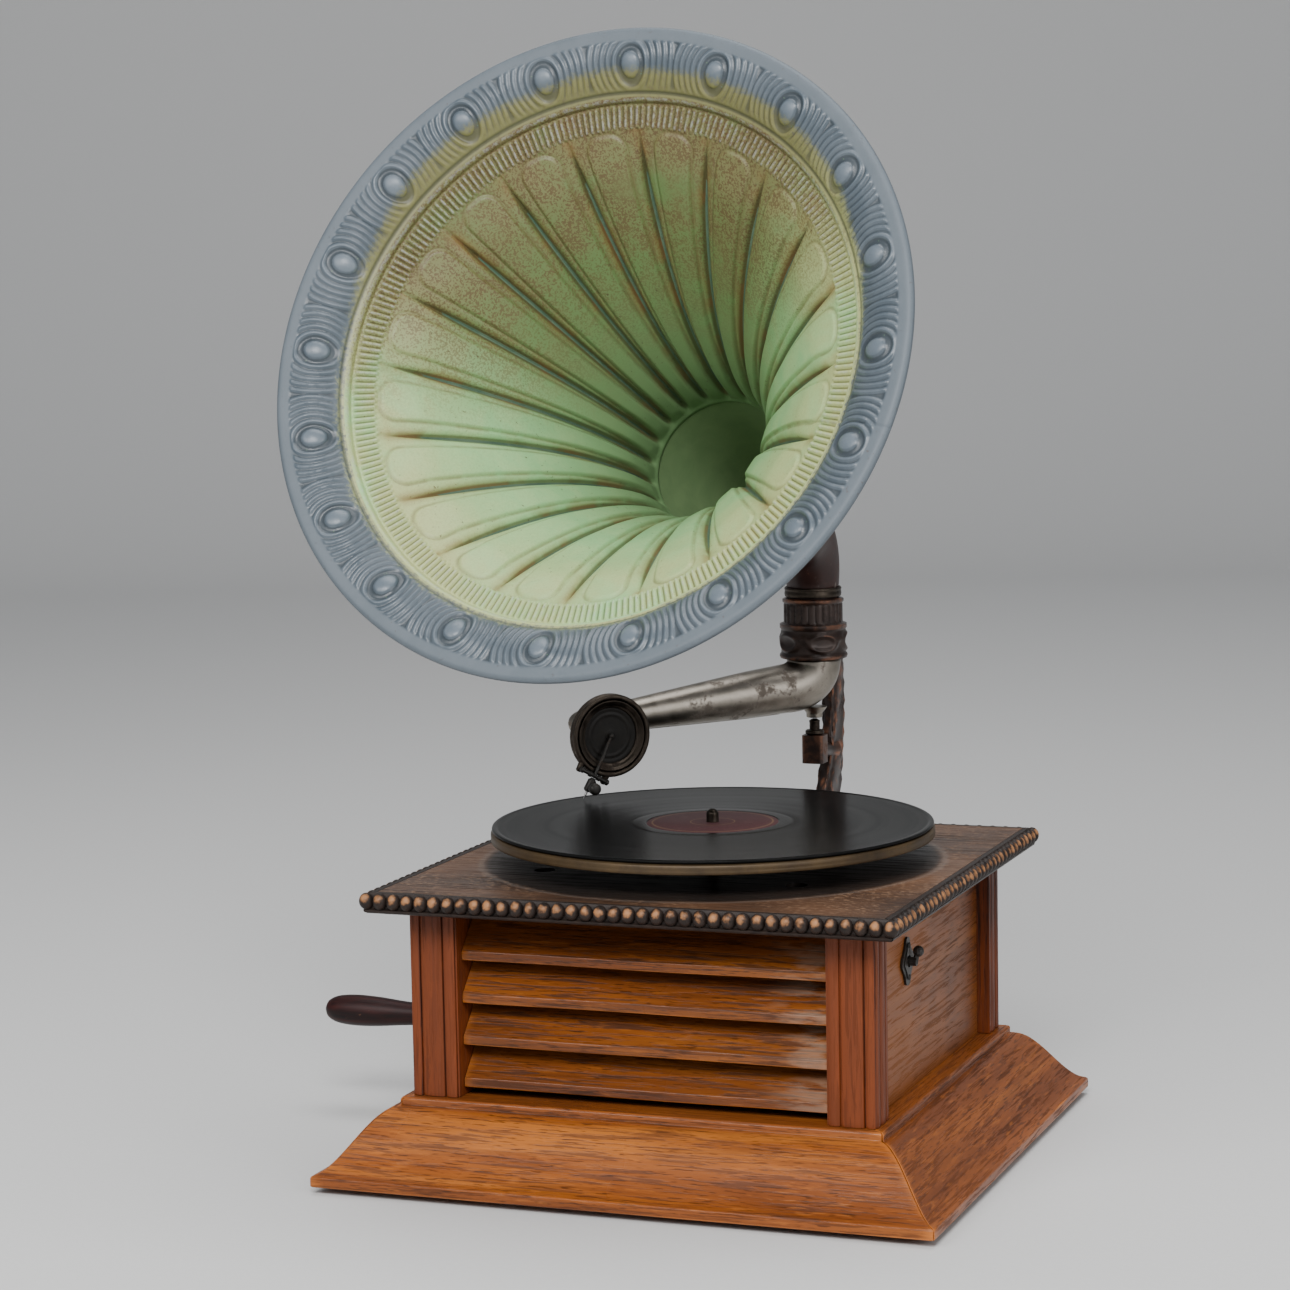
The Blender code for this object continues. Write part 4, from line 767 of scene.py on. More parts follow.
def horn_finish():
    """Blue-grey border over a green interior, rubbed and rusted through by age."""
    g = Graph("horn_paint")
    place = g.coords()
    at = SimpleNamespace(
        place=place, rim=g.value("rim"), depth=g.value("depth"), height=g.value("relief"),
        upper=g.value("upper"), lip=g.value("lip"), large=g.noise(place, 16, 4, 0.6, 0.4),
        cloud=g.noise(place, 55, 5, 0.65, 0.3), fine=g.noise(place, 420, 4, 0.7))
    at.chips = g.step(g.plus(at.fine, g.times(at.large, 0.20)), 0.760, 0.790)
    colour = g.mix(g.step(g.value("border"), 0.35, 0.65), petal_paint(g, at), border_paint(g, at))
    # the outside is a plain darker green
    back = g.mix(g.step(at.cloud, 0.35, 0.7), (0.060, 0.105, 0.070), (0.095, 0.145, 0.095))
    back = g.tint(back, (0.09, 0.045, 0.022), at.chips, 0.8)
    colour = g.mix(g.value("outside"), colour, back)
    rough = g.scaled(at.cloud, 0.24, 0.36)
    rough = g.plus(rough, g.times(at.rim, -0.16), clamp=True)
    rough = g.plus(rough, g.times(at.lip, 0.22), clamp=True)
    surface = g.plus(g.times(at.fine, 0.7), g.times(g.noise(place, 1100, 2, 0.6), 0.4))
    surface = g.math("SUBTRACT", surface, g.times(at.chips, 0.8))
    return g.finish(colour, rough, g.bump(surface, 0.00016, 0.65), Specular_IOR_Level=0.38)


def elbow_finish():
    """Dark brown outside, worn to reddish gold; the same green as the horn within."""
    g = Graph("elbow_paint")
    cloud = g.noise(g.coords(), 60, 5, 0.65, 0.4)
    fine = g.noise(g.coords(), 480, 4, 0.7)
    brown = g.ramp(cloud, (0.3, (0.018, 0.008, 0.007)), (0.7, (0.042, 0.018, 0.014)))
    gold = g.step(g.plus(cloud, g.times(fine, 0.5)), 0.84, 0.98)
    brown = g.tint(brown, (0.22, 0.10, 0.055), gold, 0.55)
    run = g.noise(g.coords((160, 160, 18)), 1.0, 4, 0.6)
    streak = g.times(g.step(run, 0.64, 0.70), g.step(cloud, 0.45, 0.6))
    brown = g.tint(brown, (0.42, 0.38, 0.32), streak, 0.40)
    green = g.ramp(cloud, (0.3, (0.135, 0.215, 0.098)), (0.7, (0.180, 0.265, 0.125)))
    green = g.mix(g.step(fine, 0.68, 0.76), green, (0.06, 0.035, 0.02))
    colour = g.mix(g.value("inside"), brown, green)
    rough = g.scaled(cloud, 0.3, 0.26)
    return g.finish(colour, rough, g.bump(fine, 0.0001, 0.5), 0.0, Specular_IOR_Level=0.30)


# ---------------------------------------------------------------- horn
HORN_AXIS = Vector((-math.sin(HORN_YAW) * math.cos(HORN_TILT),
                    -math.cos(HORN_YAW) * math.cos(HORN_TILT), math.sin(HORN_TILT)))
HORN_KNEE = Vector((0.0, SUPPORT_Y, HORN_KNEE_Z))
MOUTH = HORN_KNEE + HORN_AXIS * HORN_REACH
HORN_LEVEL = Vector((0, 0, 1)).cross(HORN_AXIS).normalized()
HORN_UP = HORN_AXIS.cross(HORN_LEVEL)


def horn_profile():
    """Radius and depth behind the mouth, from the rolled lip to the throat, finely spaced."""
    lip = [(HORN_RIM_R, 0.0032), (0.1829, 0.0016), (0.1817, 0.0004), (0.1800, 0.0), (0.1768, 0.0004),
           (0.1730, 0.0011), (0.1680, 0.0021), (0.1630, 0.0040), (0.1575, 0.0072), (0.1530, 0.0108),
           (0.1500, 0.0140), (0.1475, 0.0172), (0.1452, 0.0201), (0.1400, 0.0220), (TICK_IN, TICK_DEPTH)]
    outer = curve_through(lip, 8)
    share = np.concatenate([np.linspace(0, 0.16, 46, endpoint=False), np.linspace(0.16, 1, 84)])
    flare = THROAT_R + (TICK_IN - THROAT_R) * (1 - share) ** 1.9
    depth = TICK_DEPTH + (THROAT_DEPTH - TICK_DEPTH) * share
    inner = np.stack([flare, depth], axis=1)[1:]
    return np.vstack([outer, inner])


def border_relief(radius, away):
    """Eyes ringed by ridges that spread into ripples between them. away is the angle from an eye."""
    across = EYE_R * away / 0.0098
    along = (radius - EYE_R) / 0.0122
    reach = np.hypot(across, along)
    dome = np.sqrt(np.clip(1 - (reach / 0.55) ** 2, 0, 1)) * 0.0021
    ridges = hump(reach, 0.98, 0.12) * 0.00140 - hump(reach, 0.74, 0.12) * 0.0005
    for place in (1.37, 1.73, 2.09, 2.45):
        ridges += hump(reach, place, 0.110) * 0.00130
    window = smoothstep(0.1508, 0.1548, radius) * (1 - smoothstep(0.1738, 0.1756, radius))
    return (dome + ridges - 0.00045) * window


def petal_relief(radius, run, phase, share):
    """Convex petals with a raised round-ended panel, parted by sharp creases.
    run is the length along the sheet from the tick band; phase runs -1 to 1 across a petal."""
    half = radius * math.pi / PETALS
    side = np.abs(phase) * half
    open_out = smoothstep(0.0, 0.030, run) * (1 - smoothstep(0.90, 0.985, share))
    bulge = (1 - np.abs(phase) ** 2.4) * half * 0.19 * open_out
    width = 0.0009 + 0.0013 * smoothstep(0.0, 0.05, run)
    depth = (0.0008 + 0.0017 * open_out) * (1 - smoothstep(0.94, 1.0, share))
    crease = -hump(half - side, 0, width) * depth * smoothstep(-0.0005, 0.0015, run)
    wide = 0.58 * half
    corner = 0.80 * wide
    over_side = side - (wide - corner)
    over_end = (PANEL_START + corner) - run
    gap = np.hypot(np.maximum(over_side, 0), np.maximum(over_end, 0)) - corner
    gap += np.minimum(np.maximum(over_side, over_end), 0)
    fade = 1 - smoothstep(0.78, 0.93, share)
    panel = (1 - smoothstep(-0.0016, 0.0006, gap)) * PANEL_RISE * fade
    line = -hump(gap, 0.0006, 0.0007) * 0.00055 * fade
    return bulge, crease, panel + line, hump(gap, 0.0005, 0.0008) * fade


def horn_sheet():
    """Arrays over the sheet: a row for each profile point, a column for each step around."""
    profile = horn_profile()
    steps = np.linalg.norm(np.diff(profile, axis=0), axis=1)
    length = np.concatenate([[0], np.cumsum(steps)])
    slope = np.gradient(profile, axis=0)
    slope /= np.linalg.norm(slope, axis=1)[:, None]
    facing = np.stack([-slope[:, 1], -slope[:, 0]], axis=1)
    # the sheet faces the mouth, so relief is raised towards the viewer
    facing *= np.where(facing[:, 1:] > 0, 1.0, -1.0)
    columns = PETALS * TICKS_PER_PETAL * 6
    ones = np.ones((len(profile), columns))
    angle = ones * (np.arange(columns) * TURN / columns)
    depth = ones * profile[:, 1:]
    tick_edge = np.interp(TICK_IN, profile[::-1, 0], length[::-1])
    return SimpleNamespace(
        radius=ones * profile[:, :1], depth=depth, angle=angle, facing=facing,
        away=(angle + PETAL_PITCH / 2) % PETAL_PITCH - PETAL_PITCH / 2,
        phase=(angle % PETAL_PITCH) / PETAL_PITCH * 2 - 1,
        share=np.clip((depth - TICK_DEPTH) / (THROAT_DEPTH - TICK_DEPTH), 0, 1),
        run=ones * (length - tick_edge)[:, None])


def about_horn(radius, height, angle):
    """Points about the horn's axis, with height measured out of its mouth."""
    local = np.stack([radius * np.cos(angle), radius * np.sin(angle), height], axis=-1)
    return local @ np.array([HORN_UP, HORN_LEVEL, HORN_AXIS]) + np.array(MOUTH)


def horn_layers(mesh, **values):
    """Gives a mesh all the layers that the horn's paint reads, nought where none is given."""
    blank = np.zeros(len(mesh.vertices))
    names = ("rim", "depth", "crease", "relief", "upper", "border", "lip", "outside", "lined")
    floats(mesh, **{name: blank + np.ravel(values.get(name, 0.0)) for name in names})


def horn_front(sheet):
    """The pressed front of the sheet, and the relief that shows through to its back."""
    radius, angle = sheet.radius, sheet.angle
    border = border_relief(radius, sheet.away)
    ring = hump(radius, 0.1482, 0.0013) * 0.0009 - hump(radius, 0.1503, 0.0008) * 0.0005
    ring -= hump(radius, 0.1464, 0.0005) * 0.0004
    in_ticks = smoothstep(TICK_IN - 0.0014, TICK_IN - 0.0002, radius)
    in_ticks *= 1 - smoothstep(0.1448, 0.1462, radius)
    ticks = np.tanh(2.0 * np.cos(angle * PETALS * TICKS_PER_PETAL) + 0.5) * TICK_RISE * in_ticks
    bulge, crease, panel, lined = petal_relief(radius, sheet.run, sheet.phase, sheet.share)
    collar = hump(sheet.share, 0.985, 0.008) * 0.0008
    seam = hump(radius * (angle - SEAM_ANGLE), 0, 0.0006)
    lift = border + ring + ticks + bulge + crease + panel + collar - seam * 0.0005
    mesh = grid("front", about_horn(radius + sheet.facing[:, :1] * lift,
                                    -sheet.depth + sheet.facing[:, 1:] * lift, angle), around=True)
    relief = border / 0.0010 * (radius > 0.1505) + ring / 0.0010 + ticks / TICK_RISE * 1.1
    relief += crease / 0.0016 + panel / PANEL_RISE * 0.5
    height = np.cos(angle)
    edge_of_blue = 0.1500 + 0.0100 * smoothstep(-0.1, 0.9, height)
    from_crease = (1 - np.abs(sheet.phase)) * radius * PETAL_PITCH / 2
    horn_layers(mesh, depth=sheet.share, relief=np.clip(relief, -1, 1),
                rim=smoothstep(edge_of_blue - 0.010, edge_of_blue + 0.010, radius),
                crease=hump(from_crease, 0, 0.0036) * (radius < TICK_IN - 0.001),
                # upper: nearness to the top and one side, where the paint is darker (partly painted shade)
                # and more worn
                upper=smoothstep(-0.15, 0.75, height - 0.25 * np.sin(angle)),
                border=smoothstep(0.1486, 0.1496, radius), lip=smoothstep(0.1745, 0.1765, radius),
                lined=np.maximum(lined * (radius < TICK_IN), seam))
    if looks_in(mesh):
        mesh.flip_normals()
    return mesh, bulge + crease * 0.6 + border * 0.5


def horn_back(sheet, showing):
    """The back of the sheet, one thickness behind, with the petals showing through."""
    pick = np.ix_(np.arange(0, len(sheet.radius), 2), np.arange(0, sheet.radius.shape[1], 6))
    pressed = showing[pick] - 0.0010
    pressed[0] = 0.0
    facing = sheet.facing[::2]
    mesh = grid("back", about_horn(sheet.radius[pick] + facing[:, :1] * pressed,
                                   -sheet.depth[pick] + facing[:, 1:] * pressed, sheet.angle[pick]),
                around=True)
    horn_layers(mesh, outside=1.0)
    if not looks_in(mesh):
        mesh.flip_normals()
    return mesh


def horn_wire():
    """The rolled wire edge."""
    around = np.linspace(0, TURN, 360, endpoint=False)[None]
    roll = np.linspace(0, TURN, 12, endpoint=False)[:, None]
    wire_r = 0.0014
    mesh = grid("wire", about_horn(HORN_RIM_R - wire_r + wire_r * np.cos(roll) + 0 * around,
                                   -0.0032 + wire_r * np.sin(roll) + 0 * around, around + 0 * roll),
                around=True, both=True)
    horn_layers(mesh, rim=1.0, relief=0.3, upper=0.5, border=1.0, lip=0.8)
    return mesh


def build_horn(looks):
    sheet = horn_sheet()
    front, showing = horn_front(sheet)
    whole = merge("horn_flower", [front, horn_back(sheet, showing), horn_wire()])
    piece("horn_flower", whole, "horn", ["horn_bell"], looks["horn"], sharp=60)
    build_elbow(looks)


def looks_in(mesh):
    """Whether a face halfway looks away from the mouth."""
    return mesh.polygons[len(mesh.polygons) // 2].normal.dot(HORN_AXIS) < 0


def elbow_path(inner=False):
    bend = 0.0400
    turn = math.pi / 2 - HORN_TILT
    tangent = bend * math.tan(turn / 2)
    forward = Vector((HORN_AXIS.x, HORN_AXIS.y, 0)).normalized()
    centre = HORN_KNEE - Vector((0, 0, tangent)) + forward * bend
    path = [Vector((0, SUPPORT_Y, z)) for z in (0.2785, 0.2860, 0.2935, 0.2980)]
    radii = [0.0148, 0.0148, 0.0150, 0.0156]
    for i in range(1, 17):
        angle = turn * i / 16
        path.append(centre - forward * bend * math.cos(angle) + Vector((0, 0, bend * math.sin(angle))))
        radii.append(0.0158 + 0.0057 * i / 16)
    throat = HORN_REACH - THROAT_DEPTH
    for share in np.linspace(0, 1, 15)[1:]:
        path.append(HORN_KNEE + HORN_AXIS * (tangent + (throat - tangent) * share))
        radii.append(0.0215 + (THROAT_R + 0.0009 - 0.0215) * share ** 1.2)
    if inner:
        radii = [radius - 0.0010 for radius in radii]
    return path, radii


def build_elbow(looks):
    outer = tube(*elbow_path(), 64, caps=False)
    inner = tube(*elbow_path(inner=True), 64, caps=False)
    inner.flip_normals()
    turn = Matrix((HORN_UP, HORN_LEVEL, HORN_AXIS)).transposed().to_4x4()
    place = Matrix.Translation(MOUTH - HORN_AXIS * (THROAT_DEPTH + 0.0012)) @ turn
    lip = [(THROAT_R + 0.0018, 0.0016), (THROAT_R + 0.0022, 0.0), (THROAT_R + 0.0018, -0.0016),
           (THROAT_R - 0.0002, -0.0016), (THROAT_R - 0.0002, 0.0006)]
    bead = lathe(rounded(lip, 0.0006), 64, place)
    foot = lathe([(0.0148, 0.2785), (0.0138, 0.2785), (0.0138, 0.2790), (0.0148, 0.2790)], 48,
                 ABOUT_SUPPORT)
    for mesh in (outer, inner, bead, foot):
        floats(mesh, inside=np.full(len(mesh.vertices), float(mesh is inner)))
    whole = merge("horn_neck_pipe", [outer, inner, bead, foot])
    piece("horn_neck_pipe", whole, "horn", ["horn_elbow"], looks["elbow"], sharp=50)
    profile = [(0.0172, 0.3002), (0.0176, 0.2992), (0.0172, 0.2982), (0.0175, 0.2962), (0.0172, 0.2945),
               (0.0164, 0.2942), (0.0164, 0.3002)]
    ring = lathe(rounded(profile, 0.0004), 64, ABOUT_SUPPORT)
    piece("elbow_ring", ring, "horn", ["horn_ring"], looks["dark_nickel"])


# ---------------------------------------------------------------- bracket
def collar_lift(z, radius, angle):
    """Flutes on the collar's upper band and scrolls on its lower one."""
    if 0.2792 < z < 0.2900:
        return 0.0007 * np.abs(np.cos(angle * 12)) ** 0.6 - 0.0004
    if 0.2595 < z < 0.2740 and radius > 0.0190:
        height = (z - 0.2668) / 0.0070
        place = (angle * 5 / math.pi + 0.5) % 2 - 1
        loop = hump(np.hypot(place / 0.80, height / 0.80), 0.85, 0.22)
        curl = hump(np.hypot((np.abs(place) - 0.95) / 0.32, (height - 0.35) / 0.45), 0, 0.8)
        hollow = hump(np.hypot(place, height * 0.8), 0, 0.4)
        return 0.0013 * np.clip(loop + curl * 0.9, 0, 1) - 0.0005 * hollow
    return np.zeros(len(angle))


def build_collar(looks):
    line = [(0.0158, 0.2934), (0.0176, 0.2934), (0.0188, 0.2928), (0.0188, 0.2912), (0.0178, 0.2904)]
    line += [(0.0178, z) for z in np.linspace(0.2896, 0.2796, 9)]
    line += [(0.0180, 0.2786), (0.0206, 0.2776), (0.0206, 0.2752), (0.0198, 0.2744)]
    line += [(0.0198, z) for z in np.linspace(0.2736, 0.2600, 22)]
    line += [(0.0206, 0.2592), (0.0209, 0.2580), (0.0204, 0.2567), (0.0175, 0.2566), (0.0158, 0.2570)]
    angle = np.linspace(0, TURN, 192, endpoint=False)
    points = np.zeros((len(line) + 1, len(angle), 3))
    for row, (radius, z) in enumerate(line + [line[0]]):
        reach = radius + collar_lift(z, radius, angle)
        points[row] = around_axis(reach, angle, z)
    collar = tidy(grid("collar", points, around=True), ABOUT_SUPPORT)
    piece("bracket_collar", collar, "cabinet", [], looks["bronzed"], sharp=60)


def bracket_arm(face):
    """A swept casting with rounded edges and leaf-like ribs on its flanks."""
    path = curve_through([(face + 0.002, 0.100), (0.150, 0.107), (0.178, 0.122), (0.203, 0.146),
                          (0.219, 0.175), (0.2275, 0.205), (0.2290, 0.235), (0.2285, 0.266)], 8)
    widths = np.interp(np.linspace(0, 1, len(path)), np.linspace(0, 1, 8),
                       [0.0120, 0.0115, 0.0125, 0.0145, 0.0155, 0.0140, 0.0130, 0.0120])
    around = np.linspace(0, TURN, 40, endpoint=False)
    c, s = np.cos(around), np.sin(around)
    direction = np.gradient(path, axis=0)
    direction /= np.linalg.norm(direction, axis=1)[:, None]
    sweep = np.zeros((len(path), len(around), 3))
    crown = np.zeros((len(path), len(around)))
    for row, (place, heading, width) in enumerate(zip(path, direction, widths)):
        lump = 0.13 * np.cos(around * 6 + row * 0.8) * math.cos(row * 1.25) - 0.04
        flat = np.sign(c) * np.abs(c) ** 0.55 * width * (1 + (lump - 0.12) * 0.6)
        thick = np.sign(s) * np.abs(s) ** 0.45 * 0.0045 * (1 + lump * 1.4)
        crown[row] = lump > 0.02
        sweep[row, :, 0] = np.clip(thick, -0.0052, 0.0052)
        sweep[row, :, 1] = place[0] - heading[1] * flat
        sweep[row, :, 2] = place[1] + heading[0] * flat
    return capped(sweep, crown)


def rounded_box(half_x, low_y, high_y, radius, steps):
    return rounded([(-half_x, low_y), (half_x, low_y), (half_x, high_y), (-half_x, high_y)], radius, steps)


def build_bracket(looks):
    build_collar(looks)
    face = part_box("back_panel")[1][1] - ORIGIN.y + 0.0003
    web_place = (Matrix.Translation((0, 0.2180, 0.2668)) @ Matrix.Rotation(math.pi / 2, 4, "X")
                 @ Matrix.Diagonal((1, 1.6, 1, 1)))
    web = lathe(rounded([(0.0, 0.0085), (0.0042, 0.0085), (0.0052, 0.0), (0.0042, -0.0085), (0.0, -0.0085)],
                        0.002), 24, web_place, closed=False)
    upright = Matrix(((1, 0, 0, 0), (0, 0, 1, 0), (0, 1, 0, 0), (0, 0, 0, 1)))
    foot = extrude(rounded_box(0.020, 0.068, 0.138, 0.008, 8), face, face + 0.006, upright,
                   [circle(0.0028, 24, (0, z)) for z in BRACKET_SCREWS.values()])
    boss = extrude(rounded_box(0.0068, -0.0068, 0.0068, 0.003, 6), 0.1912, 0.2085, ABOUT_SUPPORT)
    neck = tube([(0, SUPPORT_Y + 0.004, 0.1975), (0, 0.2050, 0.1968), (0, 0.2140, 0.1955),
                 (0, 0.2230, 0.1950)], [0.0052, 0.0044, 0.0048, 0.0066], 20)
    rest = merge("bracket_casting", [bracket_arm(face), web, foot, boss, neck])
    piece("bracket_casting", rest, "cabinet", ["horn_bracket"], looks["bronzed"],
          bevel=0.0008)
    for name, z in BRACKET_SCREWS.items():
        turn = Matrix.Translation((0, face + 0.0063, z)) @ Matrix.Rotation(-math.pi / 2, 4, "X")
        head = slotted_head(0.0046, 0.0027)
        head.transform(turn)
        shank = lathe([(0, 0.0002), (0.0025, 0.0002), (0.0025, -0.0060), (0, -0.0060)], 16, turn,
                      closed=False)
        piece(name + "_turned", merge(name, [head, shank]), "cabinet", [name], looks["steel"],
              bevel=0.0002)
    build_pivot_screw(looks)


def build_pivot_screw(looks):
    shape = [(0.0, 0.2186), (0.0016, 0.2184), (0.0034, 0.2172)]
    for i in range(6):
        shape += [(0.0034, 0.2166 - 0.0008 * i), (0.0029, 0.2162 - 0.0008 * i)]
    shape += [(0.0030, 0.2117), (0.0050, 0.2116), (0.0058, 0.2109), (0.0058, 0.2095), (0.0050, 0.2088),
              (0.0030, 0.2087), (0.0030, 0.1936), (0.0, 0.1935)]
    screw = lathe(shape, 32, ABOUT_SUPPORT, closed=False)
    piece("pivot_screw_turned", screw, "cabinet", ["pivot_screw"], looks["dark_nickel"],
          bevel=0.0002)


def capped(points, crown=None):
    """A closed skin from rings, with both ends filled."""
    mesh = grid("skin", points, around=True)
    if crown is not None:
        floats(mesh, crown=crown)
    close_ends(mesh, *points.shape[:2])
    return tidy(mesh)


def slotted_head(radius, height):
    """A domed screw head standing on z = 0 with a cut across it."""
    profile = [(0.0, height), (radius * 0.45, height * 0.96), (radius * 0.8, height * 0.72),
               (radius, height * 0.25), (radius, 0.0), (0.0, 0.0)]
    mesh = lathe(rounded(profile, 0.0003, closed=False), 32, closed=False)
    for vertex in mesh.vertices:
        if abs(vertex.co.y) < radius * 0.13 * 1.6 and vertex.co.z > height * 0.2:
            vertex.co.z -= height * 0.35
    mesh.update()
    return mesh


# ---------------------------------------------------------------- tonearm and sound box
ARM_DIR = Vector((math.cos(ARM_ANGLE), math.sin(ARM_ANGLE), 0.0))
FACE_DIR = Vector((-ARM_DIR.y, ARM_DIR.x, 0.0))


def on_arm(reach, height, offset=0.0):
    return Vector((0, SUPPORT_Y, height)) + ARM_DIR * reach + FACE_DIR * offset


def box_frame():
    turn = Matrix((ARM_DIR, Vector((0, 0, 1)), FACE_DIR)).transposed().to_4x4()
    return Matrix.Translation(on_arm(ARM_BOX, BOX_Z)) @ turn


def on_stylus(reach, offset, across=0.0):
    line = Vector((math.cos(STYLUS_TILT), math.sin(STYLUS_TILT), 0.0))
    side = Vector((-line.y, line.x, 0.0))
    return box_frame() @ (line * reach + side * across + Vector((0, 0, offset)))


def along_arm(share, below=0.0):
    """A point on the tube's sloping centre line, or straight below it."""
    run = (ARM_END - ARM_BEND) * share
    slope = (ARM_TIP_Z - ARM_KNEE_Z) / (ARM_END - ARM_BEND)
    return on_arm(ARM_BEND + run, ARM_KNEE_Z + slope * run - below)


def arm_skin():
    """The tube's centre line and radii: down the neck, round the bend, to a closed round tip."""
    path = [on_arm(0, z) for z in (0.2720, 0.2680, 0.2630, 0.2580, 0.2566, 0.2560, 0.2552, 0.2546)]
    radii = [0.0148] * 5 + [0.0160, 0.0166, 0.0166]
    for i in range(1, 19):
        angle = math.pi / 2 * i / 18
        path.append(on_arm(ARM_BEND * (1 - math.cos(angle)), ARM_KNEE_Z + ARM_DROP * (1 - math.sin(angle))))
        radii.append(0.0164 - 0.0014 * i / 18 + 0.0004 * math.sin(math.pi * i / 18))
    for share in np.linspace(0, 1, 30)[1:]:
        if share > ARM_SHARES[-1]:
            break
        path.append(along_arm(share))
        radii.append(np.interp(share, ARM_SHARES, ARM_RADII))
    for k in range(1, 7):
        angle = math.pi / 2 * k / 6
        path.append(along_arm(ARM_SHARES[-1] + (1 - ARM_SHARES[-1]) * math.sin(angle)))
        radii.append(max(0.0003, ARM_RADII[-1] * math.cos(angle) ** 0.8))
    return path, radii


def build_tonearm(looks):
    path, radii = arm_skin()
    skin = tube(path, radii, 56, caps=False)
    inside = tube(path[:20], [radius - 0.0012 for radius in radii[:20]], 40, caps=False)
    inside.flip_normals()
    lip = lathe([(0.0148, 0.2720), (0.0136, 0.2720), (0.0136, 0.2712), (0.0148, 0.2712)], 56, ABOUT_SUPPORT)
    spigot = tube([on_arm(ARM_BOX, SPIGOT_Z, offset) for offset in (0.0050, 0.0090, 0.0138)],
                  [0.0056, 0.0052, 0.0050], 32)
    lug = lathe(rounded([(0.0, 0.2262), (0.0080, 0.2262), (0.0066, 0.2240), (0.0050, 0.2222),
                         (0.0050, 0.2194), (0.0, 0.2192)], 0.0006, closed=False), 32, ABOUT_SUPPORT,
                closed=False)
    shares = np.linspace(0.03, 0.90, 12)
    seam = tube([along_arm(s, np.interp(s, ARM_SHARES, ARM_RADII)) for s in shares], [0.0005] * 12, 8)
    whole = merge("tonearm_pipe", [skin, inside, lip, spigot, lug, seam])
    piece("tonearm_pipe", whole, "tonearm", ["tonearm"], looks["nickel"], sharp=50)


def build_sound_box(looks):
    frame_of_box = box_frame()
    profile = [(0.0215, 0.0190), (0.0218, 0.0218), (0.0224, 0.0225), (0.0240, 0.0225), (BOX_R, 0.0217),
               (BOX_R, 0.0203), (0.0243, 0.0198), (0.0243, 0.0190), (BOX_R, 0.0184), (BOX_R, 0.0162),
               (0.0241, 0.0150), (0.0232, 0.0132), (0.0180, 0.0122), (0.0176, 0.0116), (0.0100, 0.0113),
               (0.0055, 0.0114), (0.0055, 0.0146), (0.0205, 0.0150)]
    shell = lathe(rounded(profile, 0.0005), 96, frame_of_box)
    hub = tube([on_arm(ARM_BOX, SPIGOT_Z, offset) for offset in (0.0092, 0.0096, 0.0110, 0.0122)],
               [0.0066, 0.0078, 0.0078, 0.0092], 40)
    parts = [shell, hub]
    for across in EARS:
        parts.append(tube([on_stylus(reach, 0.0200, across) for reach in (0.0225, 0.0255, 0.0272, 0.0280)],
                          [0.0022, 0.0019, 0.0018, 0.0010], 16))
        parts.append(tube([on_stylus(STYLUS_PIVOT, offset, across) for offset in (0.0200, 0.0226, 0.0230)],
                          [0.0009, 0.0009, 0.0004], 12))
    for k in range(3):
        angle = math.radians(90 + 120 * k)
        centre = frame_of_box @ Vector((0.0206 * math.cos(angle), 0.0206 * math.sin(angle), 0.0122))
        parts.append(tube([centre - FACE_DIR * back for back in (0, 0.0008, 0.0014)],
                          [0.0018, 0.0018, 0.0010], 16))
    piece("sound_box_shell", merge("sound_box_shell", parts), "sound_box", ["sound_box_body"],
          looks["dark_nickel"], sharp=45)
    profile = [(0.0211, 0.0219), (0.0207, 0.0221), (0.0196, 0.0216), (0.0190, 0.0214), (0.0180, 0.0206),
               (0.0168, 0.0203), (0.0165, 0.0198), (0.0168, 0.0196), (0.0211, 0.0196)]
    ring = lathe(rounded(profile, 0.0003), 96, frame_of_box)
    piece("sound_box_front_ring", ring, "sound_box", ["sound_box_ring"], looks["dark_nickel"])
    profile = [(0.0, 0.0192), (0.0030, 0.0192), (0.0033, 0.01905), (0.0060, 0.0190), (0.0110, 0.01895),
               (0.0125, 0.0192), (0.0140, 0.01895), (0.0155, 0.0192), (0.0206, 0.0191), (0.0206, 0.0187),
               (0.0, 0.0187)]
    disc = lathe(rounded(profile, 0.0004, closed=False), 96, frame_of_box, closed=False)
    piece("diaphragm_disc", disc, "sound_box", ["diaphragm"], looks["diaphragm"], sharp=60)
    build_stylus_bar(looks)
    build_needle(looks)
    build_thumb_screw(looks)


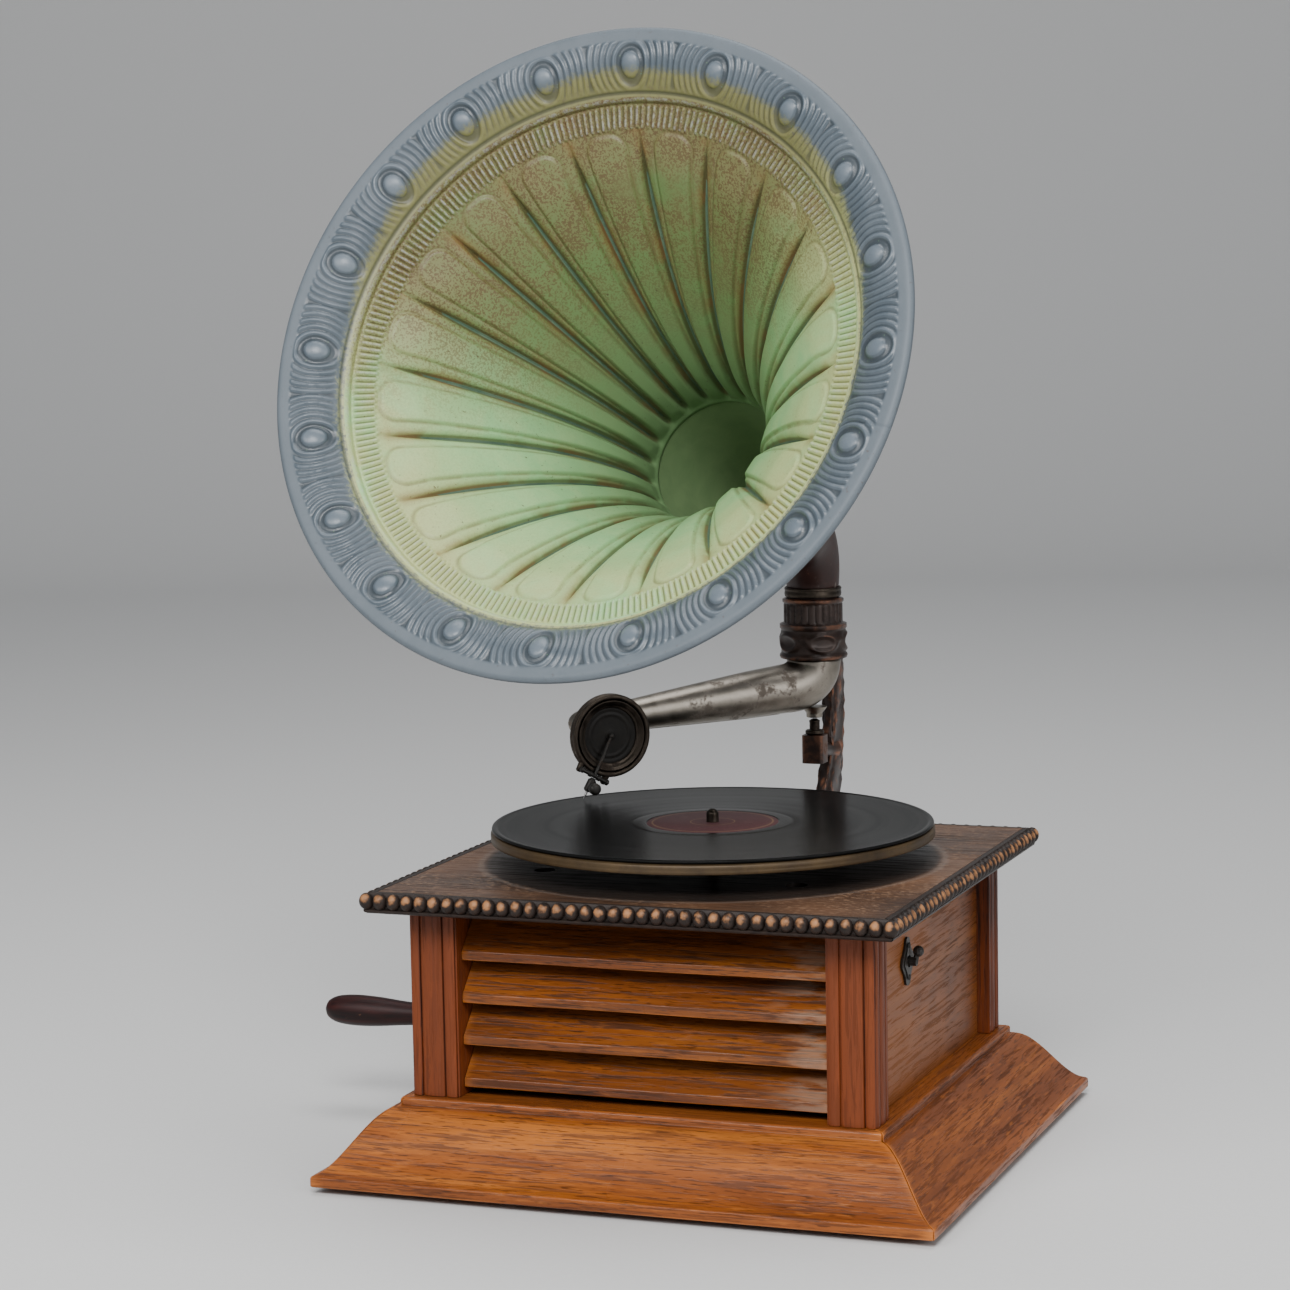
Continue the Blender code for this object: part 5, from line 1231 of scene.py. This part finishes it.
def build_stylus_bar(looks):
    """An arm from the diaphragm's centre to its rocking pin, with the needle's clamp below."""
    line = curve_through([on_stylus(0.0, 0.0215), on_stylus(0.0080, 0.0222), on_stylus(0.0150, 0.0240),
                          on_stylus(STYLUS_PIVOT, STYLUS_OFFSET)], 6)
    arm = tube(line, np.linspace(0.0007, 0.0011, len(line)), 14)
    hub = ball(on_stylus(0.0002, 0.0215), 0.0015, 20, 12)

    def pin(radii, sides, *places):
        return tube([on_stylus(STYLUS_PIVOT, STYLUS_OFFSET, across) for across in places], radii, sides)

    cross = pin([0.0007, 0.0012, 0.0012, 0.0007], 12, -0.0104, -0.0100, 0.0100, 0.0104)
    collars = [pin([0.0018, 0.0018], 16, across - 0.0009, across + 0.0009)
               for across in (-0.0088, -0.0030, 0.0030, 0.0088)]
    reaches = (0.0276, 0.0284, 0.0292, 0.0350, 0.0360, 0.0364)
    clamp = tube([on_stylus(reach, STYLUS_OFFSET) for reach in reaches],
                 [0.0014, 0.0018, 0.0026, 0.0026, 0.0022, 0.0012], 28)
    bar = merge("stylus_bar_forged", [arm, hub, cross, *collars, clamp])
    piece("stylus_bar_forged", bar, "stylus", ["stylus_bar"], looks["black"], bevel=0.00015)


def build_needle(looks):
    needle = tube([on_stylus(reach, STYLUS_OFFSET) for reach in (0.0320, 0.0385, 0.0392, NEEDLE_REACH)],
                  [0.0007, 0.0007, 0.0006, 0.00012], 16)
    piece("steel_needle", needle, "stylus", ["needle"], looks["steel"])


def build_thumb_screw(looks):
    """A small knurled knob on the needle's clamp."""
    line = [(0.0010, 0.0020), (0.0010, 0.0056), (0.0026, 0.0060), (0.0034, 0.0072), (0.0035, 0.0080),
            (0.0035, 0.0098), (0.0033, 0.0104), (0.0024, 0.0113), (0.0012, 0.0115)]
    angle = np.linspace(0, TURN, 64, endpoint=False)
    points = np.zeros((len(line), len(angle), 3))
    for row, (radius, height) in enumerate(line):
        knurl = 0.00012 * np.cos(angle * 16) if 0.0070 < height < 0.0100 else 0 * angle
        points[row] = around_axis(radius + knurl, angle, height)
    turn = box_frame().to_3x3().to_4x4()
    knob = tidy(capped(points), Matrix.Translation(on_stylus(0.0335, STYLUS_OFFSET)) @ turn)
    piece("needle_thumb_screw", knob, "thumb_screw", ["thumb_screw"], looks["black"],
          bevel=0.0001)


# ---------------------------------------------------------------- turntable
def build_turntable(looks):
    bore = SPINDLE_R + 0.0003
    (low_x, _, hub_z), (high_x, _, top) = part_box("turntable")
    radius = (high_x - low_x) / 2
    under = top - 0.0017
    profile = [(bore, top), (radius - 0.0012, top), (radius - 0.0002, top - 0.0008), (radius, top - 0.0020),
               (radius - 0.0001, top - 0.0034), (radius, RIM_Z + 0.0016), (radius - 0.0002, RIM_Z + 0.0002),
               (radius - 0.0012, RIM_Z), (radius - 0.0017, RIM_Z + 0.0008), (radius - 0.0017, under),
               (0.070, under), (0.068, top - 0.0027), (0.066, under), (0.016, under),
               (0.0112, top - 0.0035), (0.0098, hub_z + 0.0006), (0.0090, hub_z), (bore, hub_z)]
    platter = lathe(rounded(profile, 0.0004), 160)
    piece("turntable_platter", platter, "turntable", ["turntable"], looks["platter"])
    build_record(looks, bore)
    build_spindle(looks)


def build_record(looks, bore):
    low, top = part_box("record")[0][2], RECORD_TOP
    edge = RECORD_R
    profile = [(LABEL_R, top - 0.00025), (LABEL_R + 0.0006, top - 0.0001), (0.0445, top - 0.0002),
               (0.0460, top - 0.0003), (0.1215, top - 0.0003), (0.1228, top), (edge - 0.0009, top),
               (edge - 0.0002, top - 0.0004), (edge, top - 0.0010), (edge - 0.0003, low + 0.0004),
               (edge - 0.0010, low), (bore, low), (bore, top - 0.0004), (LABEL_R - 0.0002, top - 0.0004)]
    disc = lathe(rounded(profile, 0.0003), 192)
    piece("record_disc", disc, "turntable", ["record"], looks["shellac"], sharp=50)
    label = lathe([(bore, top - 0.0004), (bore, top - 0.0001), (LABEL_R - 0.0006, top - 0.0001),
                   (LABEL_R - 0.0002, top - 0.0004)], 96)
    piece("record_label", label, "turntable", [], looks["label"])


def build_spindle(looks):
    low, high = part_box("spindle")[0][2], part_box("spindle")[1][2]
    tip = [(0.0, high)]
    for k in range(1, 8):
        angle = math.pi / 2 * k / 7
        tip.append((SPINDLE_R * math.sin(angle), high - SPINDLE_R * 0.9 * (1 - math.cos(angle))))
    shaft = lathe(tip + [(SPINDLE_R, low + 0.001), (SPINDLE_R - 0.0008, low), (0.0, low)], 40, closed=False)
    pinion = gear_mesh(10, 0.0012, 0.1255, 0.1335)
    worm_wheel = gear_mesh(24, 0.00112, 0.1080, 0.1160)
    collar = lathe(rounded([(SPINDLE_R, 0.1187), (0.0072, 0.1187), (0.0072, 0.1163), (SPINDLE_R, 0.1163)],
                           0.0004), 32)
    spindle = merge("spindle_shaft", [shaft, pinion, worm_wheel, collar])
    piece("spindle_shaft", spindle, "turntable", ["spindle"], looks["dark_nickel"], bevel=0.00015)


def gear_mesh(teeth, module, low, high):
    pitch = teeth * module / 2
    flank = ((-1.15, -0.30), (0.1, -0.21), (0.85, -0.10), (0.85, 0.10), (0.1, 0.21), (-1.15, 0.30))
    points = []
    for i in range(teeth):
        for rise, share in flank:
            angle = TURN * (i + share) / teeth
            radius = pitch + rise * module
            points.append((radius * math.cos(angle), radius * math.sin(angle)))
    return extrude(points, low, high)


# ---------------------------------------------------------------- cabinet
SIDES = {"front": (Vector((1, 0, 0)), Vector((0, -1, 0))), "rear": (Vector((-1, 0, 0)), Vector((0, 1, 0))),
         "left": (Vector((0, -1, 0)), Vector((-1, 0, 0))), "right": (Vector((0, 1, 0)), Vector((1, 0, 0)))}


def strip(section, side, extra, parts=40):
    """A moulding along one side with mitred ends; section is (outward, up)."""
    run, out = SIDES[side]
    points = np.zeros((parts + 1, len(section), 3))
    for row in range(parts + 1):
        share = row / parts * 2 - 1
        for column, (outward, up) in enumerate(section):
            reach = (outward + extra - 0.0003) * share
            points[row, column] = run * reach + out * outward + Vector((0, 0, up))
    return capped(points)


def build_plinth(looks):
    for side in SIDES:
        front = side in ("front", "rear")
        half = BASE_D if front else BASE_W
        body = (BODY_D if front else BODY_W) + BASE_STEP
        extra = (BASE_W - BASE_D) * (1 if front else -1)
        inner = body - 0.0348
        section = [(inner, BASE_LOW), (half - 0.0006, BASE_LOW), (half, BASE_LOW + 0.0006),
                   (half, BASE_LIP - 0.0010), (half - 0.0005, BASE_LIP - 0.0002)]
        sweep = half - body
        for i in range(1, 24):
            share = i / 24
            rise = (0.5 - 0.5 * math.cos(math.pi * share)) ** 0.9
            section.append((half - sweep * share, BASE_LIP + (BASE_OGEE - BASE_LIP) * rise))
        section += [(body, BASE_OGEE), (body, BASE_TOP - 0.0012), (body - 0.0010, BASE_TOP),
                    (inner, BASE_TOP)]
        piece(f"plinth_moulding_{side}", strip(section, side, extra), "cabinet",
              [f"plinth_{side}"], looks["oak_x" if front else "oak_y"], bevel=0.0005, sharp=30)


def reed(start, width, depth, steps=7):
    return [(start + width * (0.5 - 0.5 * math.cos(math.pi * k / steps)),
             depth * (1 - math.sin(math.pi * k / steps) ** 0.6))
            for k in range(steps + 1)]


def build_posts(looks):
    groove = 0.0020
    front = reed(0.0008, 0.0058, groove) + reed(0.0070, 0.0130, groove) + reed(0.0204, 0.0068, groove)
    side = reed(0.0012, 0.0070, groove) + reed(0.0094, 0.0090, groove)
    outline = front + [(POST_W, groove), (POST_W, POST_D), (0.0004, POST_D), (0.0004, 0.0192)]
    outline += [(x, y) for y, x in reversed(side)]
    for name, sx in (("left", 1), ("right", -1)):
        for end, sy in (("front", 1), ("rear", -1)):
            shape = [(sx * (x - BODY_W), sy * (y - BODY_D)) for x, y in outline]
            piece(f"post_reeded_{end}_{name}", extrude(shape, POST_LOW, POST_HIGH), "cabinet",
                  [f"post_{end}_{name}"], looks["oak_z"], bevel=0.0003, sharp=35)


def build_louvre(looks):
    parts = 40
    for i in range(4):
        node = f"louvre_slat_{i + 1}"
        low, high = (Vector(corner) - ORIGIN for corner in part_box(node))
        section = [(0, 0.0004), (0.0004, 0), (0.0020, 0), (0.0225, 0.0190), (0.0185, 0.0232),
                   (0.0010, 0.0057), (0.0002, 0.0050)]
        points = np.zeros((parts + 1, len(section), 3))
        for row in range(parts + 1):
            share = row / parts
            wave = 0.00015 * math.sin(share * 9.0 + i * 2.1)
            for column, (y, z) in enumerate(section):
                points[row, column] = (low.x + (high.x - low.x) * share, low.y + y, low.z + z + wave)
        piece(f"slat_{i + 1}_planed", capped(points), "cabinet", [node], looks["oak_slat"],
              bevel=0.0005, sharp=30)


def build_top(looks):
    bolts = [middle("motor_bolt_left") - ORIGIN, middle("motor_bolt_right") - ORIGIN]
    outline = [(-BOARD_W, -BOARD_D), (BOARD_W, -BOARD_D), (BOARD_W, BOARD_D), (-BOARD_W, BOARD_D)]
    layers = []
    for low, high, radius, sides in ((BOARD_TOP - 0.0055, BOARD_TOP, 0.0060, 32),
                                     (BOARD_UNDER, BOARD_TOP - 0.0055, 0.0028, 24)):
        holes = [circle(radius, sides, (bolt.x, bolt.y)) for bolt in bolts] + [circle(0.0090, 40)]
        layers.append(extrude(outline, low, high, holes=holes))
    board = tidy(merge("board", layers))
    piece("top_board_planed", board, "cabinet", ["top_board"], looks["oak_top"], bevel=0.0003)
    for side, bolt in zip(("left", "right"), bolts):
        place = Matrix.Translation((bolt.x, bolt.y, BOARD_TOP - 0.0052))
        head = slotted_head(0.0045, 0.0030)
        head.transform(place)
        shank = lathe([(0, 0), (0.0024, 0), (0.0024, -0.0140), (0, -0.0140)], 16, place, closed=False)
        piece(f"motor_bolt_{side}_turned", merge("bolt", [head, shank]), "cabinet",
              [f"motor_bolt_{side}"], looks["black"], bevel=0.0002)
    build_beading(looks)


def turned_bead(place, out, size, stretch):
    """One bead, with a layer that says how far its skin faces outward and up."""
    bead = ball((0, 0, 0), size, 20, 14, (1, 1, stretch))
    # crown: how far the skin faces outward and up, where the bead finish paints its highlight
    crown = [v.co.normalized().dot(out * 0.87 + Vector((0, 0, 0.49))) for v in bead.vertices]
    floats(bead, crown=np.clip(crown, 0, 1))
    bead.transform(Matrix.Translation(place))
    return bead


def build_beading(looks):
    for side, (run, out) in SIDES.items():
        low, high = (Vector(corner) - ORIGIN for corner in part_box(f"bead_strip_{side}"))
        axis, other = (1, 0) if side in ("front", "rear") else (0, 1)
        inner, outer = sorted((abs(low[axis]), abs(high[axis])))
        half_run = (high[other] - low[other]) / 2
        z0, z1 = low.z, high.z
        rail = [(inner, z0), (outer - 0.0042, z0), (outer - 0.0030, z0 + 0.0008),
                (outer - 0.0026, z0 + BEAD_RAIL), (outer - 0.0048, z0 + BEAD_RAIL + 0.0006),
                (outer - 0.0048, z1 - 0.0012), (outer - 0.0056, z1), (inner, z1)]
        body = strip(rail, side, half_run - outer + 0.0003)
        floats(body, crown=np.full(len(body.vertices), 0.05))
        height = (z1 - z0 - BEAD_RAIL) / 2
        centre = out * (outer - BEAD_R) + Vector((0, 0, (z1 + z0 + BEAD_RAIL) / 2))
        span = 2 * (half_run - BEAD_R)
        count = round(span / (2 * BEAD_R)) + 1
        beads = [turned_bead(centre + run * (-span / 2 + span * k / (count - 1)), out,
                             min(BEAD_R * (1 + 0.02 * math.sin(k * 12.9)), BEAD_R), height / BEAD_R)
                 for k in range(count)]
        piece(f"beading_{side}", merge("beading", [body, *beads]), "cabinet",
              [f"bead_strip_{side}"], looks["beads"], sharp=50)


def lobed_outline():
    outline = []
    for k in range(96):
        angle = TURN * k / 96
        up = math.sin(angle)
        width = 0.0112 * (1 - 0.12 * up) * (0.80 + 0.20 * math.cos(4 * angle))
        outline.append((width * math.cos(angle), 0.0134 * up * (0.90 + 0.10 * abs(math.sin(angle)) ** 8)))
    return outline


def build_scutcheons(looks):
    facing = Matrix(((0, 0, 1, 0), (1, 0, 0, 0), (0, 1, 0, 0), (0, 0, 0, 1)))
    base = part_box("lever_escutcheon")[0][0] - ORIGIN.x
    place = Matrix.Translation((0, LEVER_AT.y, LEVER_AT.z)) @ facing
    outline = lobed_outline()
    hole = circle(0.0034, 24)
    inner = [(x * 0.72, y * 0.72) for x, y in outline]
    parts = [extrude(outline, base, base + 0.0012, place, [hole]),
             extrude(inner, base + 0.0010, base + 0.0018, place, [hole])]
    turn = Matrix.Rotation(math.pi / 2, 4, "Y")
    for z in (0.0088, -0.0088):
        head = slotted_head(0.0017, 0.0009)
        head.transform(Matrix.Translation((base + 0.0016, LEVER_AT.y, LEVER_AT.z + z)) @ turn)
        parts.append(head)
    piece("lever_scutcheon", merge("lever_scutcheon", parts), "cabinet", ["lever_escutcheon"],
          looks["black"], bevel=0.0002)
    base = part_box("crank_escutcheon")[1][0] - ORIGIN.x
    back = Matrix.Translation((base, CRANK_AT.y, CRANK_AT.z)) @ Matrix.Rotation(-math.pi / 2, 4, "Y")
    profile = [(0.0062, 0.0018), (0.0100, 0.0018), (0.0108, 0.0012), (0.0130, 0.0009), (0.0140, 0.0002),
               (0.0140, 0.0), (0.0062, 0.0)]
    disc = lathe(rounded(profile, 0.0003), 64)
    disc.transform(back)
    parts = [disc]
    for k in range(3):
        angle = math.radians(90 + 120 * k)
        head = slotted_head(0.0014, 0.0008)
        spot = (0.0118 * math.cos(angle), 0.0118 * math.sin(angle), 0.0009)
        head.transform(back @ Matrix.Translation(spot))
        parts.append(head)
    piece("crank_scutcheon", merge("crank_scutcheon", parts), "cabinet", ["crank_escutcheon"],
          looks["black"], bevel=0.0001)


# ---------------------------------------------------------------- crank and lever
def build_handle(looks):
    """A swelling turned grip with a thin ferrule at its neck."""
    length = HANDLE_START - HANDLE_END
    swell = curve_through([(0.0, 0.52), (0.03, 0.74), (0.08, 0.74), (0.12, 0.68), (0.25, 0.68),
                           (0.42, 0.78), (0.60, 0.94), (0.76, 1.0), (0.89, 0.90), (0.965, 0.62),
                           (0.995, 0.22)], 6)
    outer = [(HANDLE_R * max(width, 0.02), length * min(max(share, 0), 1)) for share, width in swell]
    profile = [(HANDLE_BORE, length - 0.0105), (HANDLE_BORE, 0.0)] + outer + [(0.0, length)]
    turn = Matrix.Rotation(-math.pi / 2, 4, "Y")
    place = Matrix.Translation((HANDLE_START, HANDLE_AT.y, HANDLE_AT.z)) @ turn
    grip = lathe(profile[::-1], 64, place, closed=False)
    ferrule = lathe(rounded([(0.0056, 0.0030), (0.0060, 0.0022), (0.0060, 0.0004), (0.0034, 0.0002),
                             (0.0034, 0.0030)], 0.0003), 40, place)
    piece("handle_grip", merge("handle_grip", [grip, ferrule]), "crank_handle",
          ["crank_handle"], looks["handle"], sharp=60)


def crank_half_width(share, reach):
    """Half the arm's width: a round boss on the shaft, a tapering web and a round eye."""
    near = share * reach / 0.0085
    boss = 0.0085 * math.sqrt(max(0.0, 1 - near ** 2)) if near < 1 else 0
    beyond = (share - 1) * reach / 0.0055
    eye = 0.0055 * math.sqrt(max(0.0, 1 - beyond ** 2)) if abs(beyond) < 1 else 0
    web = 0.0052 - 0.0016 * share if 0 < share < 1 else 0
    return max(boss, eye, web, 0.0003)


def build_crank(looks):
    build_handle(looks)
    start = Vector((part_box("crank_shaft")[0][0] - ORIGIN.x, CRANK_AT.y, CRANK_AT.z))
    end = Vector((HANDLE_START, HANDLE_AT.y, HANDLE_AT.z))
    pin_x, face_x = (corner[0] - ORIGIN.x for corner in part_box("crank_arm"))
    heading = Vector((0, end.y - start.y, end.z - start.z))
    reach = heading.length
    heading.normalize()
    across = Vector((0, -heading.z, heading.y))
    rings = []
    for share in np.linspace(-0.085, 1.065, 44):
        half = crank_half_width(share, reach)
        centre = start + heading * share * reach
        ring = []
        for k in range(20):
            c, s = math.cos(TURN * k / 20), math.sin(TURN * k / 20)
            x = face_x - 0.0020 + math.copysign(abs(c) ** 0.5, c) * 0.00195
            y = math.copysign(abs(s) ** 0.7, s) * half
            ring.append((x, centre.y + across.y * y, centre.z + across.z * y))
        rings.append(ring)
    arm = capped(np.array(rings))
    pin = tube([(face_x - 0.0015, end.y, end.z), (pin_x + 0.0004, end.y, end.z), (pin_x, end.y, end.z)],
               [0.0028, 0.0028, 0.0022], 24)
    piece("crank_arm_forged", merge("crank_arm", [arm, pin]), "crank", ["crank_arm"],
          looks["steel"], bevel=0.0002)


def carry_over(looks):
    """CAD pieces that keep their own shape: their names, material and eased edge."""
    feet = [f"foot_{end}_{side}" for end in ("front", "rear") for side in ("left", "right")]
    for material, bevel, *nodes in (
            ("rubber", 0.0008, *feet), ("oak_x", 0.0006, "bottom_board"),
            ("oak_panel", 0.0005, "back_panel", "side_panel_left", "side_panel_right"),
            ("black", 0.0006, "motor_frame", "motor_bridge"), ("black", 0.0003, "speed_lever"),
            ("brass", 0.0002, "spring_barrel", "governor_disc"),
            ("brass", 0.0001, "intermediate_wheel", "governor_weight_1", "governor_weight_2"),
            ("spring", 0.0001, "mainspring"), ("steel", 0.0001, "governor_shaft"),
            ("steel", 0.0002, "winding_arbor"), ("steel", 0.0003, "crank_shaft")):
        for node in nodes:
            dress(node, looks[material], bevel)


# ---------------------------------------------------------------- studio
def build_stage():
    """A floor that sweeps up into a plain pale backdrop, painted lighter towards the back and up the sweep.
    """
    width = 6.0
    profile = [(-4.5, 0.0), (3.20, 0.0)]
    for k in range(1, 13):
        angle = math.pi / 2 * k / 12
        profile.append((3.20 + 1.2 * math.sin(angle), 1.2 - 1.2 * math.cos(angle)))
    profile += [(4.4, 5.0)]
    turn = Matrix.Rotation(CAMERA_YAW, 4, "Z")
    points = np.zeros((len(profile), 2, 3))
    for row, (y, z) in enumerate(profile):
        for column, x in enumerate((-width, width)):
            points[row, column] = turn @ Vector((x, y, z))
    mesh = grid("studio_floor", points)
    smooth_by_angle(mesh, 60)
    floor = new_object("studio_floor", mesh)
    g = Graph("backdrop_paper")
    grain = g.noise(g.coords(), 300, 3, 0.5)
    colour = g.ramp(grain, (0.3, (0.565, 0.563, 0.557)), (0.7, (0.580, 0.580, 0.574)))
    # painted light: the paper grows lighter towards the back and up the backdrop
    climb = g.step(g.separate(g.coords())[1], 0.60, 3.2)
    colour = g.mix(climb, colour, (0.700, 0.700, 0.690))
    mesh.materials.append(g.finish(colour, 0.75))


def area_light(name, place, target, size, power):
    light = bpy.data.lights.new(name, "AREA")
    light.shape = "RECTANGLE"
    light.size, light.size_y = size
    light.energy = power
    lamp = bpy.data.objects.new(name, light)
    bpy.context.scene.collection.objects.link(lamp)
    lamp.location = Vector(place) + ORIGIN
    aim = Vector(target) - Vector(place)
    lamp.rotation_euler = aim.to_track_quat("-Z", "Y").to_euler()
    return lamp


def build_lights():
    area_light("key", (0.55, -2.1, 1.9), (0, 0, 0.28), (1.2, 0.9), 74)
    area_light("second", (-0.75, -2.2, 1.55), (0, 0, 0.10), (1.5, 1.1), 34)
    area_light("fill", (2.0, -1.0, 1.0), (0, 0, 0.20), (1.4, 1.4), 20)
    area_light("top", (0.1, 0.2, 2.3), (0, 0, 0.2), (1.8, 1.2), 34)
    world = bpy.data.worlds.new("studio")
    world.use_nodes = True
    world.node_tree.nodes["Background"].inputs[0].default_value = (0.9, 0.93, 1.0, 1.0)
    world.node_tree.nodes["Background"].inputs[1].default_value = 0.24
    bpy.context.scene.world = world


def build_camera():
    forward = Vector((-math.sin(CAMERA_YAW) * math.cos(CAMERA_DIP),
                      math.cos(CAMERA_YAW) * math.cos(CAMERA_DIP),
                      -math.sin(CAMERA_DIP)))
    right = Vector((math.cos(CAMERA_YAW), math.sin(CAMERA_YAW), 0))
    up = right.cross(forward)
    tilted_right = right * math.cos(CAMERA_ROLL) + up * math.sin(CAMERA_ROLL)
    tilted_up = up * math.cos(CAMERA_ROLL) - right * math.sin(CAMERA_ROLL)
    lens = bpy.data.cameras.new("camera")
    lens.sensor_width = 36.0
    lens.lens = PHOTO_FOCAL / PHOTO_SIZE * lens.sensor_width
    camera = bpy.data.objects.new("camera", lens)
    bpy.context.scene.collection.objects.link(camera)
    turn = Matrix((tilted_right, tilted_up, -forward)).transposed().to_4x4()
    camera.matrix_world = Matrix.Translation(CAMERA_AT + ORIGIN) @ turn
    bpy.context.scene.camera = camera


def main():
    looks = build_materials()
    carry_over(looks)
    build_plinth(looks)
    build_posts(looks)
    build_louvre(looks)
    build_top(looks)
    build_scutcheons(looks)
    build_bracket(looks)
    build_tonearm(looks)
    build_sound_box(looks)
    build_turntable(looks)
    build_crank(looks)
    build_horn(looks)
    build_stage()
    build_lights()
    build_camera()


main()
